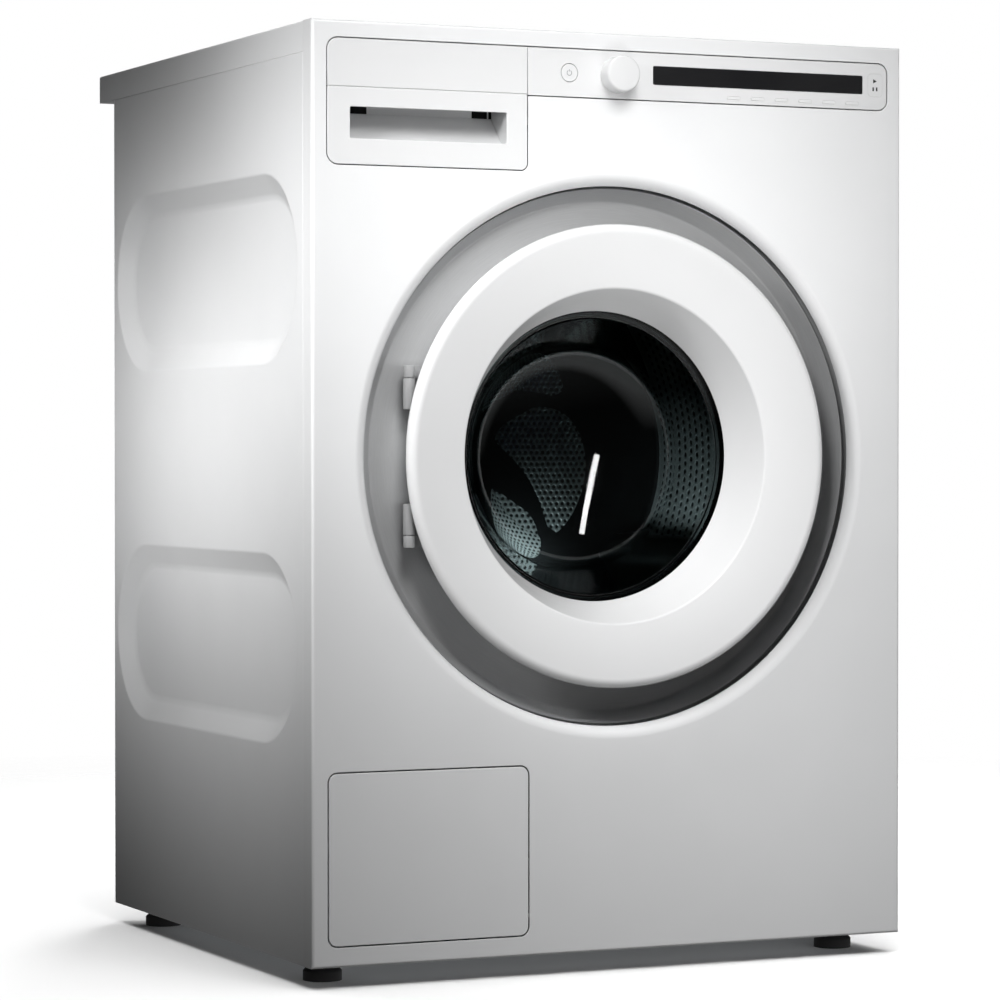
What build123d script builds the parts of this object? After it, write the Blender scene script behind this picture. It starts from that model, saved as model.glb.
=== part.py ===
from build123d import *
import math
import os

# Front load washing machine, in millimetres.
# X to the right of someone facing the door, Z up from the floor, and the front looks along -Y.
# Depths are measured from the front skin towards the rear.

# Cabinet
cabinet_width = 595.0
cabinet_height = 850.0
body_depth = 528.5
worktop_overhang = 45.0
worktop_thickness = 27.0
worktop_round = 3.0
body_bottom = 19.0
sheet = 1.2
seam = 0.3
flange = 18.0
corner_round = 3.0
front_return = 20.4
return_slit_drop = 13.0
return_slit = (2.0, 17.0)
rear_corner_cut = 5.0

# Pressed recesses of the side panels
recess_front = 35.5
recess_rear_margin = 11.0
recess_height = 171.0
recess_depth = 12.0
recess_flank = 16.0
recess_low_z = 295.0
recess_top_drop = 213.7
recess_lip_round = 6.0
recess_floor_round = 9.0

# Rear panel, its service cover and its fittings
service_opening = 185.0
service_cover_lap = 16.0
service_cover_dish = 7.0
rear_screw_pitch = 150.0
screw_head = 4.2
screw_head_height = 0.9
screw_head_bevel = 0.6
screw_shank = 1.9
screw_length = 7.0
screw_clearance = 0.2

# Base pan and levelling feet
pan_floor = 2.5
pan_wall = 2.5
pan_height = 14.0
foot_side_margin = 35.5
foot_front_depth = 64.0
foot_rear_margin = 44.5
foot_pad = 17.5
foot_pad_height = 11.0
foot_nut = 11.5
foot_stud = 5.0
foot_stud_top = 50.0
foot_boss = 15.0
foot_boss_height = 16.0
running_clearance = 0.06

# Control strip
strip_left = -89.0
strip_right_margin = 15.0
strip_top_drop = 15.9
strip_height = 42.9
strip_corner = 9.5
strip_skin = 3.0
strip_rim = 2.0
strip_depth = 18.0
panel_gap = 0.6
control_drop = 21.4
knob_radius = 16.5
knob_projection = 15.5
knob_edge = 2.2
knob_stem = 3.0
knob_stem_depth = 16.0
power_x = -47.7
power_radius = 8.0
start_margin = 12.5
start_drop = 19.9
start_width = 15.0
start_height = 21.0
start_corner = 2.5
key_pitch = 25.1
key_end_margin = 11.2
key_rise = 5.2
key_width = 13.5
key_height = 2.8
key_count = 6
key_proud = 0.7
button_gap = 0.2
button_flange = 1.2
button_flange_height = 1.4
window_left = 37.2
window_right_margin = 26.0
window_rise = 14.4
window_height = 16.6
window_corner = 1.2
window_thickness = 1.6

# Detergent drawer
drawer_margin = 14.8
drawer_height = 110.1
drawer_corner = 10.0
drawer_corner_low_right = 6.0
drawer_skin = 2.5
drawer_groove_rise = 0.6
drawer_groove = 0.8
grip_left_margin = 21.4
grip_right_margin = 20.1
grip_rise = 22.7
grip_height = 27.9
grip_top_depth = 34.0
grip_bottom_depth = 13.0
grip_wall = 2.0
grip_pocket_rise = 9.0
grip_pocket_width = 15.0
grip_pocket_depth = 18.0
tray_inset = 8.0
tray_rise = 13.0
tray_height = 63.0
tray_length = 230.0
tray_wall = 2.0
tray_splits = (0.36, 0.74)
siphon_round = 12.0
siphon_height = 30.0
housing_gap = 2.7
housing_wall = 2.0
housing_length = 290.0
housing_flange = 6.0

# Service flap and drain pump
flap_inset = 1.1
flap_bottom = 37.8
flap_height = 151.6
flap_corner = 8.0
flap_skin = 2.5
flap_rim = 12.0
flap_pin = 2.0
flap_pin_rise = 17.0
flap_pin_depth = 5.5
flap_lug = 4.0
pump_z = 105.0
pump_bore = 30.0
pump_wall = 5.0
pump_front = 44.0
pump_filter_length = 146.0
pump_chamber_length = 26.0
pump_chamber_bore = 25.0
pump_motor_radius = 31.0
pump_motor_length = 60.0
pump_inlet_depth = 165.0
pump_outlet_offset = 27.0
filter_cap = 34.0
filter_cap_thickness = 9.0
filter_grip = 13.0
filter_length = 105.0
filter_wall = 3.0
impeller_radius = 21.0
impeller_blades = 6

# Door opening: the largest round that the width, the drawer and the flap leave room for
opening_side_margin = 40.9
opening_margin = 10.7
axis_rise = 10.9
lip_run = 11.6
lip_depth = 9.0
ring_lap = 5.4
ring_shelf_step = 5.0
ring_shelf_depth = 14.0
ring_cone = 9.0
ring_floor_width = 66.0
ring_floor_depth = 30.0
throat_end = 62.0
bellows_wall = 2.5
bellows_gap = 2.0
bellows_rise = 5.0

# Door
door_gap = 21.0
door_projection = 12.0
door_edge_round = 8.0
door_rim_depth = -3.4
door_face_width = 58.0
door_dish_depth = -2.0
door_dish_edge = 10.0
door_crease_depth = 21.7
door_funnel = 9.0
window_depth = 42.0
door_skin = 3.0
door_back_inset = 14.0
door_back_depth = 4.0
inner_frame_depth = 22.0
inner_frame_inset = 6.0
inner_frame_lap = 26.0
glass_thickness = 4.5
glass_lap = 15.0
glass_step = 5.0
glass_bowl_run = 30.0
glass_reach = 108.0
seal_inset = 12.0
seal_width = 11.0

# Door hinge and lock
hinge_inset = 8.0
hinge_depth = 6.0
hinge_knuckle = 6.0
hinge_pin = 3.0
hinge_lug_near = 42.0
hinge_lug_far = 69.5
hinge_arm_far = 80.5
hinge_plate = 2.5
hinge_plate_outward = 11.0
hinge_plate_inward = 16.0
hinge_arm_length = 36.0
latch_offset = 5.5
latch_thickness = 5.0
latch_height = 16.0
latch_reach = 46.0
latch_play = 4.0
lock_length = 30.0
lock_wall = 3.0

# Tub, drum and drive
tub_flange_over = 11.4
tub_flange_height = 10.0
tub_flange_thickness = 9.0
tub_wall = 4.0
tub_front = 84.0
tub_neck_lap = 1.0
tub_neck_depth = 75.0
tub_split = 250.0
tub_rear_space = 119.1
tub_rib_count = 12
tub_rib_depth = 18.0
tub_rib = 4.0
hub_radius = 46.0
hub_length = 45.0
bearing_radius = 32.0
bearing_width = 16.0
shaft_radius = 17.5
drum_gap = 12.8
drum_wall = 1.2
drum_mouth_gap = 3.0
drum_front = 90.0
drum_shoulder = 106.0
drum_rear_gap = 27.0
lifter_count = 3
lifter_width = 70.0
lifter_crest = 30.0
lifter_height = 52.0
lifter_front = 135.0
lifter_rear_gap = 28.0
spider_thickness = 15.0
spider_hub = 36.0
spider_edge = 13.2
spider_arm_root = 46.0
spider_arm_tip = 26.0
pulley_radius = 150.0
pulley_gap = 8.0
pulley_width = 18.0
pulley_rim = 9.0
pulley_hub = 30.0
pulley_spokes = 5
pulley_spoke = 22.0
pulley_web = 8.0
stub_radius = 12.0
stub_length = 38.0
belt_thickness = 4.0
belt_width = 14.0
belt_gap = 0.3
motor_x = 70.0
motor_z = 128.0
motor_radius = 60.0
motor_length = 110.0
motor_overhang = 3.0
motor_pulley_radius = 11.0
motor_shaft = 6.0
motor_strap = 12.0
motor_bearing_length = 24.0
heater_radius = 4.0
heater_half_angle = 8.0
heater_front = 130.0
weight_front = 58.0
weight_neck_gap = 25.0
weight_edge = 8.0
weight_half_angle = 65.0
top_weight_x = (-30.0, 190.0)
top_weight_depth = (110.0, 232.0)
top_weight_drop = 47.0

# Suspension and hoses
shock_front_x = 115.0
shock_front_depth = 110.0
shock_rear_x = 175.0
shock_rear_gap = 27.0
shock_radius = 17.0
shock_top = 166.0
shock_rod = 8.0
shock_rod_bottom = 72.0
shock_seat = 215.0
shock_lug = 15.0
shock_floor = 20.0
hose_gap = 0.4
hose_wall = 4.0
sump_x = -60.0
sump_nipple = 17.0
sump_nipple_bottom = 172.0
sump_hose_top = 200.0
sump_bend = 42.0
fill_x = -150.0
fill_depth = 180.0
fill_nipple = 11.0
fill_nipple_gap = 15.7
fill_hose_length = 29.7
drain_hose_radius = 12.0
drain_hose_bore = 9.0
drain_hose_z = 182.0
drain_bend = 26.0
drain_bend_radius = 25.5
spigot_radius = 11.0
spigot_length = 38.0
spigot_flange = 20.0
inlet_side_margin = 97.5
inlet_drop = 80.0
inlet_radius = 13.2
inlet_length = 18.0
inlet_body = 44.0
inlet_body_depth = 58.0
water_hose_radius = 7.0
water_hose_bore = 5.0
water_hose_gap = 7.0
water_hose_bend = 30.0
gland_side_margin = 67.5
gland_z = 110.0
gland_radius = 9.0
gland_flange = 14.0
gland_bore = 4.0
gland_length = 12.0

# Places that follow from the sizes above: cabinet
half_width = cabinet_width / 2
body_top = cabinet_height - worktop_thickness
front_y = (knob_projection - body_depth - worktop_overhang) / 2
side_front = front_return + seam
rear_outer = body_depth - sheet
rear_inner = rear_outer - sheet
return_slit_z = cabinet_height - return_slit_drop
recess_length = body_depth - recess_front - recess_rear_margin
recess_mid_depth = recess_front + recess_length / 2
recess_heights = (recess_low_z, cabinet_height - recess_top_drop)
pan_bottom = body_bottom + sheet
pan_top = pan_bottom + pan_floor
pan_half = half_width - flange - seam
foot_x = half_width - foot_side_margin
foot_depths = (foot_front_depth, body_depth - foot_rear_margin)

# Controls, drawer and flap
strip_right = half_width - strip_right_margin
strip_top = cabinet_height - strip_top_drop
strip_bottom = strip_top - strip_height
control_z = strip_top - control_drop
start_x = strip_right - start_margin
start_z = strip_top - start_drop
window_right = strip_right - window_right_margin
window_bottom = strip_bottom + window_rise
window_top = window_bottom + window_height
key_first_x = window_right - key_end_margin - key_pitch * (key_count - 1)
key_z = strip_bottom + key_rise
drawer_left = drawer_margin - half_width
drawer_right = strip_left - panel_gap
drawer_bottom = strip_top - drawer_height
drawer_groove_z = strip_bottom + drawer_groove_rise
grip_left = drawer_left + grip_left_margin
grip_right = drawer_right - grip_right_margin
grip_bottom = drawer_bottom + grip_rise
grip_top = grip_bottom + grip_height
housing_left = -half_width + flange + seam
tray_left = housing_left + housing_wall + housing_gap
tray_right = drawer_right - tray_inset
tray_bottom = drawer_bottom + tray_rise
tray_top = tray_bottom + tray_height
tray_front = grip_top_depth + grip_wall + sheet
housing_right = tray_right + housing_gap + housing_wall
housing_floor = tray_bottom - seam
housing_bottom = housing_floor - housing_wall
housing_top = tray_top + housing_gap + housing_wall
housing_front = drawer_skin + seam
flap_left = drawer_left + flap_inset
flap_right = strip_left + panel_gap
flap_top = flap_bottom + flap_height
flap_axis_z = flap_bottom + flap_pin_rise
pump_x = (flap_left + flap_right) / 2
pump_radius = pump_bore + pump_wall
pump_chamber = pump_front + pump_filter_length
pump_motor_front = pump_chamber + pump_chamber_length
pump_outlet_x = pump_x - pump_outlet_offset
drain_hose_depth = pump_chamber + pump_chamber_length / 2

# Door opening and door
axis_z = (drawer_bottom + flap_top) / 2 + axis_rise
opening_radius = min(
    half_width - opening_side_margin,
    (drawer_bottom - flap_top) / 2 - opening_margin,
)
lip_radius = opening_radius - lip_run
ring_rim = opening_radius + ring_lap
ring_shelf_radius = lip_radius - ring_shelf_step
ring_floor_radius = ring_shelf_radius - ring_cone
throat_radius = ring_floor_radius - ring_floor_width
bellows_low = throat_radius + bellows_gap
bellows_high = bellows_low + bellows_rise
door_radius = ring_floor_radius - door_gap
door_dish_radius = door_radius - door_face_width
door_crease_radius = door_dish_radius - door_dish_edge
window_radius = door_crease_radius - door_funnel
door_back_radius = door_radius - door_back_inset
inner_frame_flat = door_back_radius - inner_frame_inset
inner_frame_neck = window_radius + inner_frame_lap
glass_seat = window_depth + door_skin / 2
glass_flange = window_radius + glass_lap
glass_shoulder = window_radius - glass_step
glass_bottom_radius = glass_shoulder - glass_bowl_run
seal_outer = inner_frame_flat - seal_inset
seal_inner = seal_outer - seal_width
hinge_x = hinge_inset - door_radius
hinge_plate_left = hinge_x - hinge_plate_outward
hinge_plate_right = hinge_x + hinge_plate_inward
hinge_arm_end = hinge_x + hinge_arm_length
latch_x = seal_outer + latch_offset

# Tub, drum, drive and hoses
tub_flange = opening_radius + tub_flange_over
tub_radius = tub_flange - tub_flange_height
tub_neck = bellows_high - tub_neck_lap
tub_rear = rear_inner - tub_rear_space
hub_end = tub_rear + hub_length
drum_radius = tub_radius - tub_wall - drum_gap
drum_mouth = throat_radius + drum_mouth_gap
drum_rear = tub_rear - drum_rear_gap
lifter_span = (lifter_front, drum_rear - lifter_rear_gap)
spider_reach = drum_radius - spider_edge
pulley_front = hub_end + pulley_gap
stub_end = hub_end + stub_length
motor_front = tub_rear + motor_overhang - motor_length
weight_inner = tub_neck + weight_neck_gap
weight_outer = tub_radius - weight_edge
top_weight_z = body_top - top_weight_drop
shock_rear_depth = tub_rear - shock_rear_gap
fill_nipple_top = housing_bottom - fill_nipple_gap
fill_hose_bottom = housing_bottom - fill_hose_length
inlet_x = half_width - inlet_side_margin
inlet_z = cabinet_height - inlet_drop
water_hose_depth = tub_rear - water_hose_gap
gland_x = half_width - gland_side_margin
shocks = [
    (side * x, depth)
    for x, depth in ((shock_front_x, shock_front_depth), (shock_rear_x, shock_rear_depth))
    for side in (-1, 1)
]


def at(depth):
    """The Y of a depth behind the front skin."""
    return front_y + depth


def block(x, depth, z):
    """A box between two values of X, of depth and of Z."""
    size = [high - low for low, high in (x, depth, z)]
    middle = [(low + high) / 2 for low, high in (x, depth, z)]
    return Pos(middle[0], at(middle[1]), middle[2]) * Box(*size)


def bar_x(x, depth, z, radius):
    """A round bar along X."""
    return Pos(sum(x) / 2, at(depth), z) * Rot(0, 90, 0) * Cylinder(radius, x[1] - x[0])


def bar_y(x, depth, z, radius):
    """A round bar along the machine's depth."""
    return Pos(x, at(sum(depth) / 2), z) * Rot(90, 0, 0) * Cylinder(radius, depth[1] - depth[0])


def bar_z(x, depth, z, radius):
    """An upright round bar."""
    return Pos(x, at(depth), sum(z) / 2) * Cylinder(radius, z[1] - z[0])


def turned(points, rounds=None, x=0.0, z=axis_z):
    """A body turned about a line along the depth, from corners of radius and depth."""
    radii = [(rounds or {}).get(i, 0) for i in range(len(points))]
    outline = FilletPolyline(*[(r, at(d)) for r, d in points], radius=radii, close=True)
    return Pos(x, 0, z) * revolve(make_face(outline), Axis.Y)


def wall(points, thickness):
    """The corners of a wall of even thickness, laid on the left of a line of corners."""
    normals = []
    for (r0, d0), (r1, d1) in zip(points, points[1:]):
        length = math.hypot(r1 - r0, d1 - d0)
        normals.append(((d0 - d1) / length, (r1 - r0) / length))
    back = []
    for i, (r, d) in enumerate(points):
        before = normals[max(i - 1, 0)]
        after = normals[min(i, len(normals) - 1)]
        share = thickness / (1 + before[0] * after[0] + before[1] * after[1])
        on_axis = r == 0
        if on_axis:
            back.append((0, d + thickness / before[1]))
        else:
            back.append((r + share * (before[0] + after[0]), d + share * (before[1] + after[1])))
    return points + back[::-1]


def plate(outline, depth):
    """An upright plate between two depths, from a flat outline in X and Z."""
    return extrude(Plane.XZ.offset(-at(depth[1])) * outline, depth[1] - depth[0])


def rounded(x, z, radii):
    """A rectangle in X and Z with its corners rounded, from the lower left, anticlockwise."""
    corners = [(x[0], z[0]), (x[1], z[0]), (x[1], z[1]), (x[0], z[1])]
    return make_face(FilletPolyline(*corners, radius=radii, close=True))


def polar(shape, count, z=axis_z, x=0.0):
    """Copies of a shape spread evenly round a line along the depth."""
    centre = Pos(x, 0, z)
    return [centre * Rot(0, 360 * i / count, 0) * centre.inverse() * shape for i in range(count)]


def hose(points, bend, radius, bore):
    """A tube with rounded bends along points of X, depth and Z."""
    route = FilletPolyline(*[(x, at(d), z) for x, d, z in points], radius=bend)
    start = Plane(route @ 0, z_dir=route % 0)
    return sweep(start * (Circle(radius) - Circle(bore)), route)


def drawer_outline(gap=0.0):
    x = (drawer_left - gap, drawer_right + gap)
    z = (drawer_bottom - gap, strip_top + gap)
    return rounded(x, z, [drawer_corner, drawer_corner_low_right, 0, drawer_corner])


def strip_outline(gap=0.0):
    x = (strip_left - gap, strip_right + gap)
    z = (strip_bottom - gap, strip_top + gap)
    return rounded(x, z, [0, strip_corner, strip_corner, 0])


def flap_outline(gap=0.0):
    x = (flap_left - gap, flap_right + gap)
    z = (flap_bottom - gap, flap_top + gap)
    return rounded(x, z, [flap_corner] * 4)


def front_panel():
    skin = block((-half_width, half_width), (0, front_return), (body_bottom, cabinet_height))
    front_edges = skin.edges().filter_by_position(Axis.Y, at(0) - seam, at(0) + seam)
    skin = fillet(front_edges.filter_by(Axis.Z) + front_edges.filter_by(Axis.X), corner_round)
    inside_x = half_width - sheet
    inside_z = (body_bottom + sheet, cabinet_height - sheet)
    hollow = block((-inside_x, inside_x), (sheet, front_return + sheet), inside_z)
    near = hollow.edges().filter_by_position(Axis.Y, at(sheet) - seam, at(sheet) + seam)
    hollow = fillet(near, corner_round - sheet)
    skin -= hollow
    through = (-sheet, 2 * sheet)
    skin -= plate(drawer_outline(panel_gap) + strip_outline(panel_gap), through)
    skin -= plate(flap_outline(panel_gap), through)
    skin -= bar_y(0, through, axis_z, opening_radius)
    for side in (-1, 1):
        slit_x = sorted((side * (half_width - 2 * sheet), side * (half_width + sheet)))
        skin -= block(slit_x, return_slit, (return_slit_z - sheet / 2, return_slit_z + sheet / 2))
    skin += door_lip()
    lug_reach = flap_lug + 2 * panel_gap
    for edge, side in ((flap_left, -1), (flap_right, 1)):
        lug_x = sorted((edge + side * panel_gap, edge + side * lug_reach))
        lug_z = (flap_axis_z - flap_lug, flap_axis_z + flap_lug)
        lug = block(lug_x, (sheet, flap_pin_depth + flap_lug), lug_z)
        skin += lug - bar_x(lug_x, flap_pin_depth, flap_axis_z, flap_pin + running_clearance)
    return skin


def door_lip():
    """The skin's edge rolling back into the door opening."""
    run = opening_radius - lip_radius
    turn = 2 * math.atan2(lip_depth, run)
    roll = run / math.sin(turn)

    def point(radius, angle):
        return (opening_radius - radius * math.sin(angle), at(roll - radius * math.cos(angle)))

    def arc(radius):
        return ThreePointArc(*[point(radius, turn * share) for share in (0, 0.5, 1)])

    outer = arc(roll)
    inner = arc(roll - sheet)
    face = make_face([outer, inner, Line(outer @ 0, inner @ 0), Line(outer @ 1, inner @ 1)])
    return Pos(0, 0, axis_z) * revolve(face, Axis.Y)


def side_outline():
    corners = [
        (at(side_front), body_bottom),
        (at(body_depth - rear_corner_cut), body_bottom),
        (at(body_depth), body_bottom + rear_corner_cut),
        (at(body_depth), body_top),
        (at(side_front), body_top),
    ]
    return make_face(Polyline(*corners, close=True))


def left_side_panel():
    outline = side_outline()
    outer = Plane.YZ.offset(-half_width)
    inner = Plane.YZ.offset(-half_width + sheet)
    skin = extrude(outer * outline, flange)
    skin -= extrude(inner * offset(outline, -sheet, kind=Kind.INTERSECTION), flange)
    slope = math.degrees(math.atan2(recess_flank, recess_depth))
    for height in recess_heights:
        slot = Pos(at(recess_mid_depth), height) * SlotOverall(recess_length, recess_height)
        press = extrude(outer * slot, recess_depth, taper=slope)
        floor = press.faces().sort_by(Axis.X)[-1]
        press = fillet(floor.edges(), recess_floor_round)
        skin = skin + Pos(sheet, 0, 0) * press - press
    rim_x = (-half_width, -half_width + sheet)
    rims = [
        edge
        for edge in skin.edges()
        if abs(edge.center().Y - at(recess_mid_depth)) < recess_length / 2 + seam
        and any(abs(edge.center().Z - height) < recess_height / 2 + seam for height in recess_heights)
        and any(abs(edge.center().X - x) < sheet / 10 for x in rim_x)
    ]
    return fillet(rims, recess_lip_round)


def rear_screw_places():
    rows = int((body_top - body_bottom) // rear_screw_pitch)
    first = (body_top + body_bottom - (rows - 1) * rear_screw_pitch) / 2
    edge_x = half_width - flange / 2
    return [(side * edge_x, first + i * rear_screw_pitch) for side in (-1, 1) for i in range(rows)]


def cover_screw_places():
    ring = service_opening + service_cover_lap / 2
    turns = [math.radians(60 * i + 30) for i in range(6)]
    return [(ring * math.cos(turn), axis_z + ring * math.sin(turn)) for turn in turns]


def drill(shape, places, radius):
    """Holes through the rear sheets at places of X and Z."""
    for x, z in places:
        shape -= bar_y(x, (rear_inner - sheet, body_depth + sheet), z, radius)
    return shape


def rear_panel():
    edge_x = half_width - sheet - seam
    low = body_bottom + rear_corner_cut + 2 * sheet
    skin = block((-edge_x, edge_x), (rear_inner, rear_outer), (low, body_top - sheet - seam))
    skin = drill(skin, [(0, axis_z)], service_opening)
    skin = drill(skin, [(inlet_x, inlet_z)], inlet_radius + seam)
    skin = drill(skin, [(pump_outlet_x, drain_hose_z)], spigot_radius + seam)
    skin = drill(skin, [(gland_x, gland_z)], gland_radius + seam)
    return drill(skin, rear_screw_places() + cover_screw_places(), screw_shank + screw_clearance)


def rear_service_cover():
    edge = service_opening + service_cover_lap
    dish = service_opening - service_cover_lap
    front = rear_outer - service_cover_dish
    line = [(edge, rear_outer), (dish + service_cover_dish, rear_outer), (dish, front), (0, front)]
    cover = turned(wall(line, -sheet))
    return drill(cover, cover_screw_places(), screw_shank + screw_clearance)


def cabinet_screws():
    screws = []
    for x, z in rear_screw_places() + cover_screw_places():
        head = bar_y(x, (body_depth, body_depth + screw_head_height), z, screw_head)
        outer = head.edges().sort_by(Axis.Y)[-1]
        head = chamfer(outer, screw_head_bevel)
        screws.append(head + bar_y(x, (body_depth - screw_length, body_depth), z, screw_shank))
    return screws


def side_panels():
    left = left_side_panel()
    places = [(x, z) for x, z in rear_screw_places() if x < 0]
    left = drill(left, places, screw_shank + screw_clearance)
    return left, mirror(left, Plane.YZ)


def worktop():
    span = (side_front, body_depth + worktop_overhang)
    board = block((-half_width, half_width), span, (body_top, cabinet_height))
    upper = board.edges().filter_by_position(Axis.Z, cabinet_height - seam, cabinet_height + seam)
    back = board.edges().filter_by(Axis.Z).group_by(Axis.Y)[-1]
    return fillet(upper.sort_by(Axis.Y)[1:] + back, worktop_round)


def base_pan():
    span = (sheet + corner_round + seam, rear_inner - seam)
    high = pan_bottom + pan_height
    pan = block((-pan_half, pan_half), span, (pan_bottom, high))
    inner = pan_half - pan_wall
    pan -= block((-inner, inner), (span[0] + pan_wall, span[1] - pan_wall), (pan_top, high + sheet))
    for x, depth in foot_places():
        boss_z = (pan_bottom, pan_top + foot_boss_height)
        pan += bar_z(x, depth, boss_z, foot_boss)
        pan -= bar_z(x, depth, boss_z, foot_stud + running_clearance)
    for side in (-1, 1):
        x = sorted(side * (foot_x - foot_pad - step) for step in (seam, seam + 2 * pan_wall))
        tab = (foot_depths[0] - foot_pad, foot_depths[0] + foot_pad)
        pan += block(x, tab, (pan_bottom - 5 * sheet, pan_bottom))
    return pan


def foot_places():
    return [(side * foot_x, depth) for depth in foot_depths for side in (-1, 1)]


def foot(x, depth):
    pad = bar_z(x, depth, (0, foot_pad_height), foot_pad)
    pad = chamfer(pad.edges().sort_by(Axis.Z)[-1], 2 * sheet)
    nut = extrude(RegularPolygon(foot_nut, 6), pan_bottom - foot_pad_height - seam)
    nut = Pos(x, at(depth), foot_pad_height) * nut
    return pad + nut + bar_z(x, depth, (foot_pad_height, foot_stud_top), foot_stud)


def key_places():
    return [key_first_x + key_pitch * i for i in range(key_count)]


def key_outline(x, gap=0.0):
    wide = (x - key_width / 2 - gap, x + key_width / 2 + gap)
    tall = (key_z - key_height / 2 - gap, key_z + key_height / 2 + gap)
    return rounded(wide, tall, [key_height / 3] * 4)


def start_outline(gap=0.0):
    wide = (start_x - start_width / 2 - gap, start_x + start_width / 2 + gap)
    tall = (start_z - start_height / 2 - gap, start_z + start_height / 2 + gap)
    return rounded(wide, tall, [start_corner] * 4)


def power_outline(gap=0.0):
    return Pos(power_x, control_z) * Circle(power_radius + gap)


def window_outline(gap=0.0):
    wide = (window_left - gap, window_right + gap)
    tall = (window_bottom - gap, window_top + gap)
    return rounded(wide, tall, [window_corner] * 4)


def control_fascia():
    skin = plate(strip_outline(), (0, strip_depth))
    skin -= plate(offset(strip_outline(), -strip_rim), (strip_skin, strip_depth + sheet))
    through = (-sheet, strip_skin + sheet)
    skin -= plate(window_outline(seam), (-sheet, window_thickness + seam))
    skin -= plate(offset(window_outline(), -2 * strip_rim), through)
    skin -= bar_y(0, through, control_z, knob_stem + running_clearance)
    for outline in [power_outline(button_gap), start_outline(button_gap)]:
        skin -= plate(outline, through)
    for x in key_places():
        skin -= plate(key_outline(x, button_gap), through)
    return skin


def button(outline, proud):
    """A key cap in its hole, with the flange behind the skin that keeps it in."""
    back = strip_skin + seam
    cap = plate(outline, (-proud, back))
    return cap + plate(offset(outline, button_flange), (back, back + button_flange_height))


def program_knob():
    back = -seam
    knob = bar_y(0, (-knob_projection, back), control_z, knob_radius)
    knob = fillet(knob.edges().sort_by(Axis.Y)[0], knob_edge)
    return knob + bar_y(0, (back, knob_stem_depth), control_z, knob_stem)


def drawer_front():
    front = plate(drawer_outline(), (0, drawer_skin))
    groove_x = (drawer_left - sheet, drawer_right + sheet)
    groove_z = (drawer_groove_z - drawer_groove / 2, drawer_groove_z + drawer_groove / 2)
    front -= block(groove_x, (-sheet, drawer_groove), groove_z)
    bucket_x = (grip_left - grip_wall, grip_right + grip_wall)
    bucket = grip_profile(bucket_x, grip_wall)
    pocket_z = (grip_top - grip_wall, grip_top + grip_pocket_rise + grip_wall)
    pocket_depth = (grip_top_depth - grip_pocket_depth, grip_top_depth + grip_wall)
    bucket += block(bucket_x, (0, pocket_depth[1]), (grip_top - grip_wall, grip_top + grip_wall))
    bucket += block(bucket_x, pocket_depth, pocket_z)
    front += bucket
    front -= grip_profile((grip_left, grip_right), 0.0)
    for x in ((grip_left, grip_left + grip_pocket_width), (grip_right - grip_pocket_width, grip_right)):
        inner = (pocket_depth[0] + grip_wall, pocket_depth[1] - grip_wall)
        front -= block(x, inner, (grip_top - 2 * grip_wall, grip_top + grip_pocket_rise))
    for x in ((tray_left, tray_left + tray_wall), (tray_right - tray_wall, tray_right)):
        front += block(x, (drawer_skin, tray_front), (tray_bottom, tray_top))
    return front


def grip_profile(x, out):
    """The finger recess, deep at its top, with its walls grown by out."""
    corners = [
        (at(0), grip_bottom - out),
        (at(0), grip_top + out),
        (at(grip_top_depth + out), grip_top + out),
        (at(grip_bottom_depth + out), grip_bottom - out),
    ]
    face = make_face(Polyline(*corners, close=True))
    return extrude(Plane.YZ.offset(x[0]) * face, x[1] - x[0])


def tray_boxes():
    """The insides of the three compartments, as pairs of X."""
    wide = tray_right - tray_left
    walls = [tray_left] + [tray_left + wide * share for share in tray_splits] + [tray_right - tray_wall]
    return [(low + tray_wall, high) for low, high in zip(walls, walls[1:])]


def drawer_tray():
    span = (tray_front, tray_front + tray_length)
    tray = block((tray_left, tray_right), span, (tray_bottom, tray_top))
    inner = (span[0] + tray_wall, span[1] - tray_wall)
    for x in tray_boxes():
        tray -= block(x, inner, (tray_bottom + tray_wall, tray_top + sheet))
    return tray


def drawer_siphon_cap():
    x = tray_boxes()[1]
    middle = tray_front + tray_length / 2
    low = tray_bottom + tray_wall
    cap = bar_z(sum(x) / 2, middle, (low, low + siphon_height), siphon_round)
    return chamfer(cap.edges().sort_by(Axis.Z)[-1], tray_wall)


def dispenser_housing():
    span = (housing_front, housing_front + housing_length)
    box = block((housing_left, housing_right), span, (housing_bottom, housing_top))
    inner_x = (housing_left + housing_wall, housing_right - housing_wall)
    edge = drawer_left - panel_gap - sheet
    low = drawer_bottom - panel_gap - sheet
    wide = (edge - housing_flange, housing_right)
    tall = (low - housing_flange, housing_top)
    seat = (sheet + seam, span[0])
    box += block(wide, (span[0], span[0] + housing_wall), tall)
    box += block((wide[0], edge), seat, tall)
    box += block(wide, seat, (tall[0], low))
    inner_depth = (seat[0] - sheet, span[1] - housing_wall)
    box -= block(inner_x, inner_depth, (housing_floor, housing_top - housing_wall))
    box -= bar_z(fill_x, fill_depth, (housing_bottom - sheet, housing_floor + sheet), fill_nipple)
    return box


def service_flap():
    flap = plate(flap_outline(), (0, flap_skin))
    rim = (flap_skin, flap_rim)
    rim_z = (flap_bottom + flap_corner, flap_top - flap_corner)
    for x in ((flap_left, flap_left + flap_skin), (flap_right - flap_skin, flap_right)):
        flap += block(x, rim, rim_z)
    flap += block((flap_left + flap_corner, flap_right - flap_corner), rim, (flap_top - flap_skin, flap_top))
    reach = panel_gap + flap_lug
    flap += bar_x((flap_left - reach, flap_left), flap_pin_depth, flap_axis_z, flap_pin)
    flap += bar_x((flap_right, flap_right + reach), flap_pin_depth, flap_axis_z, flap_pin)
    return flap


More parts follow.
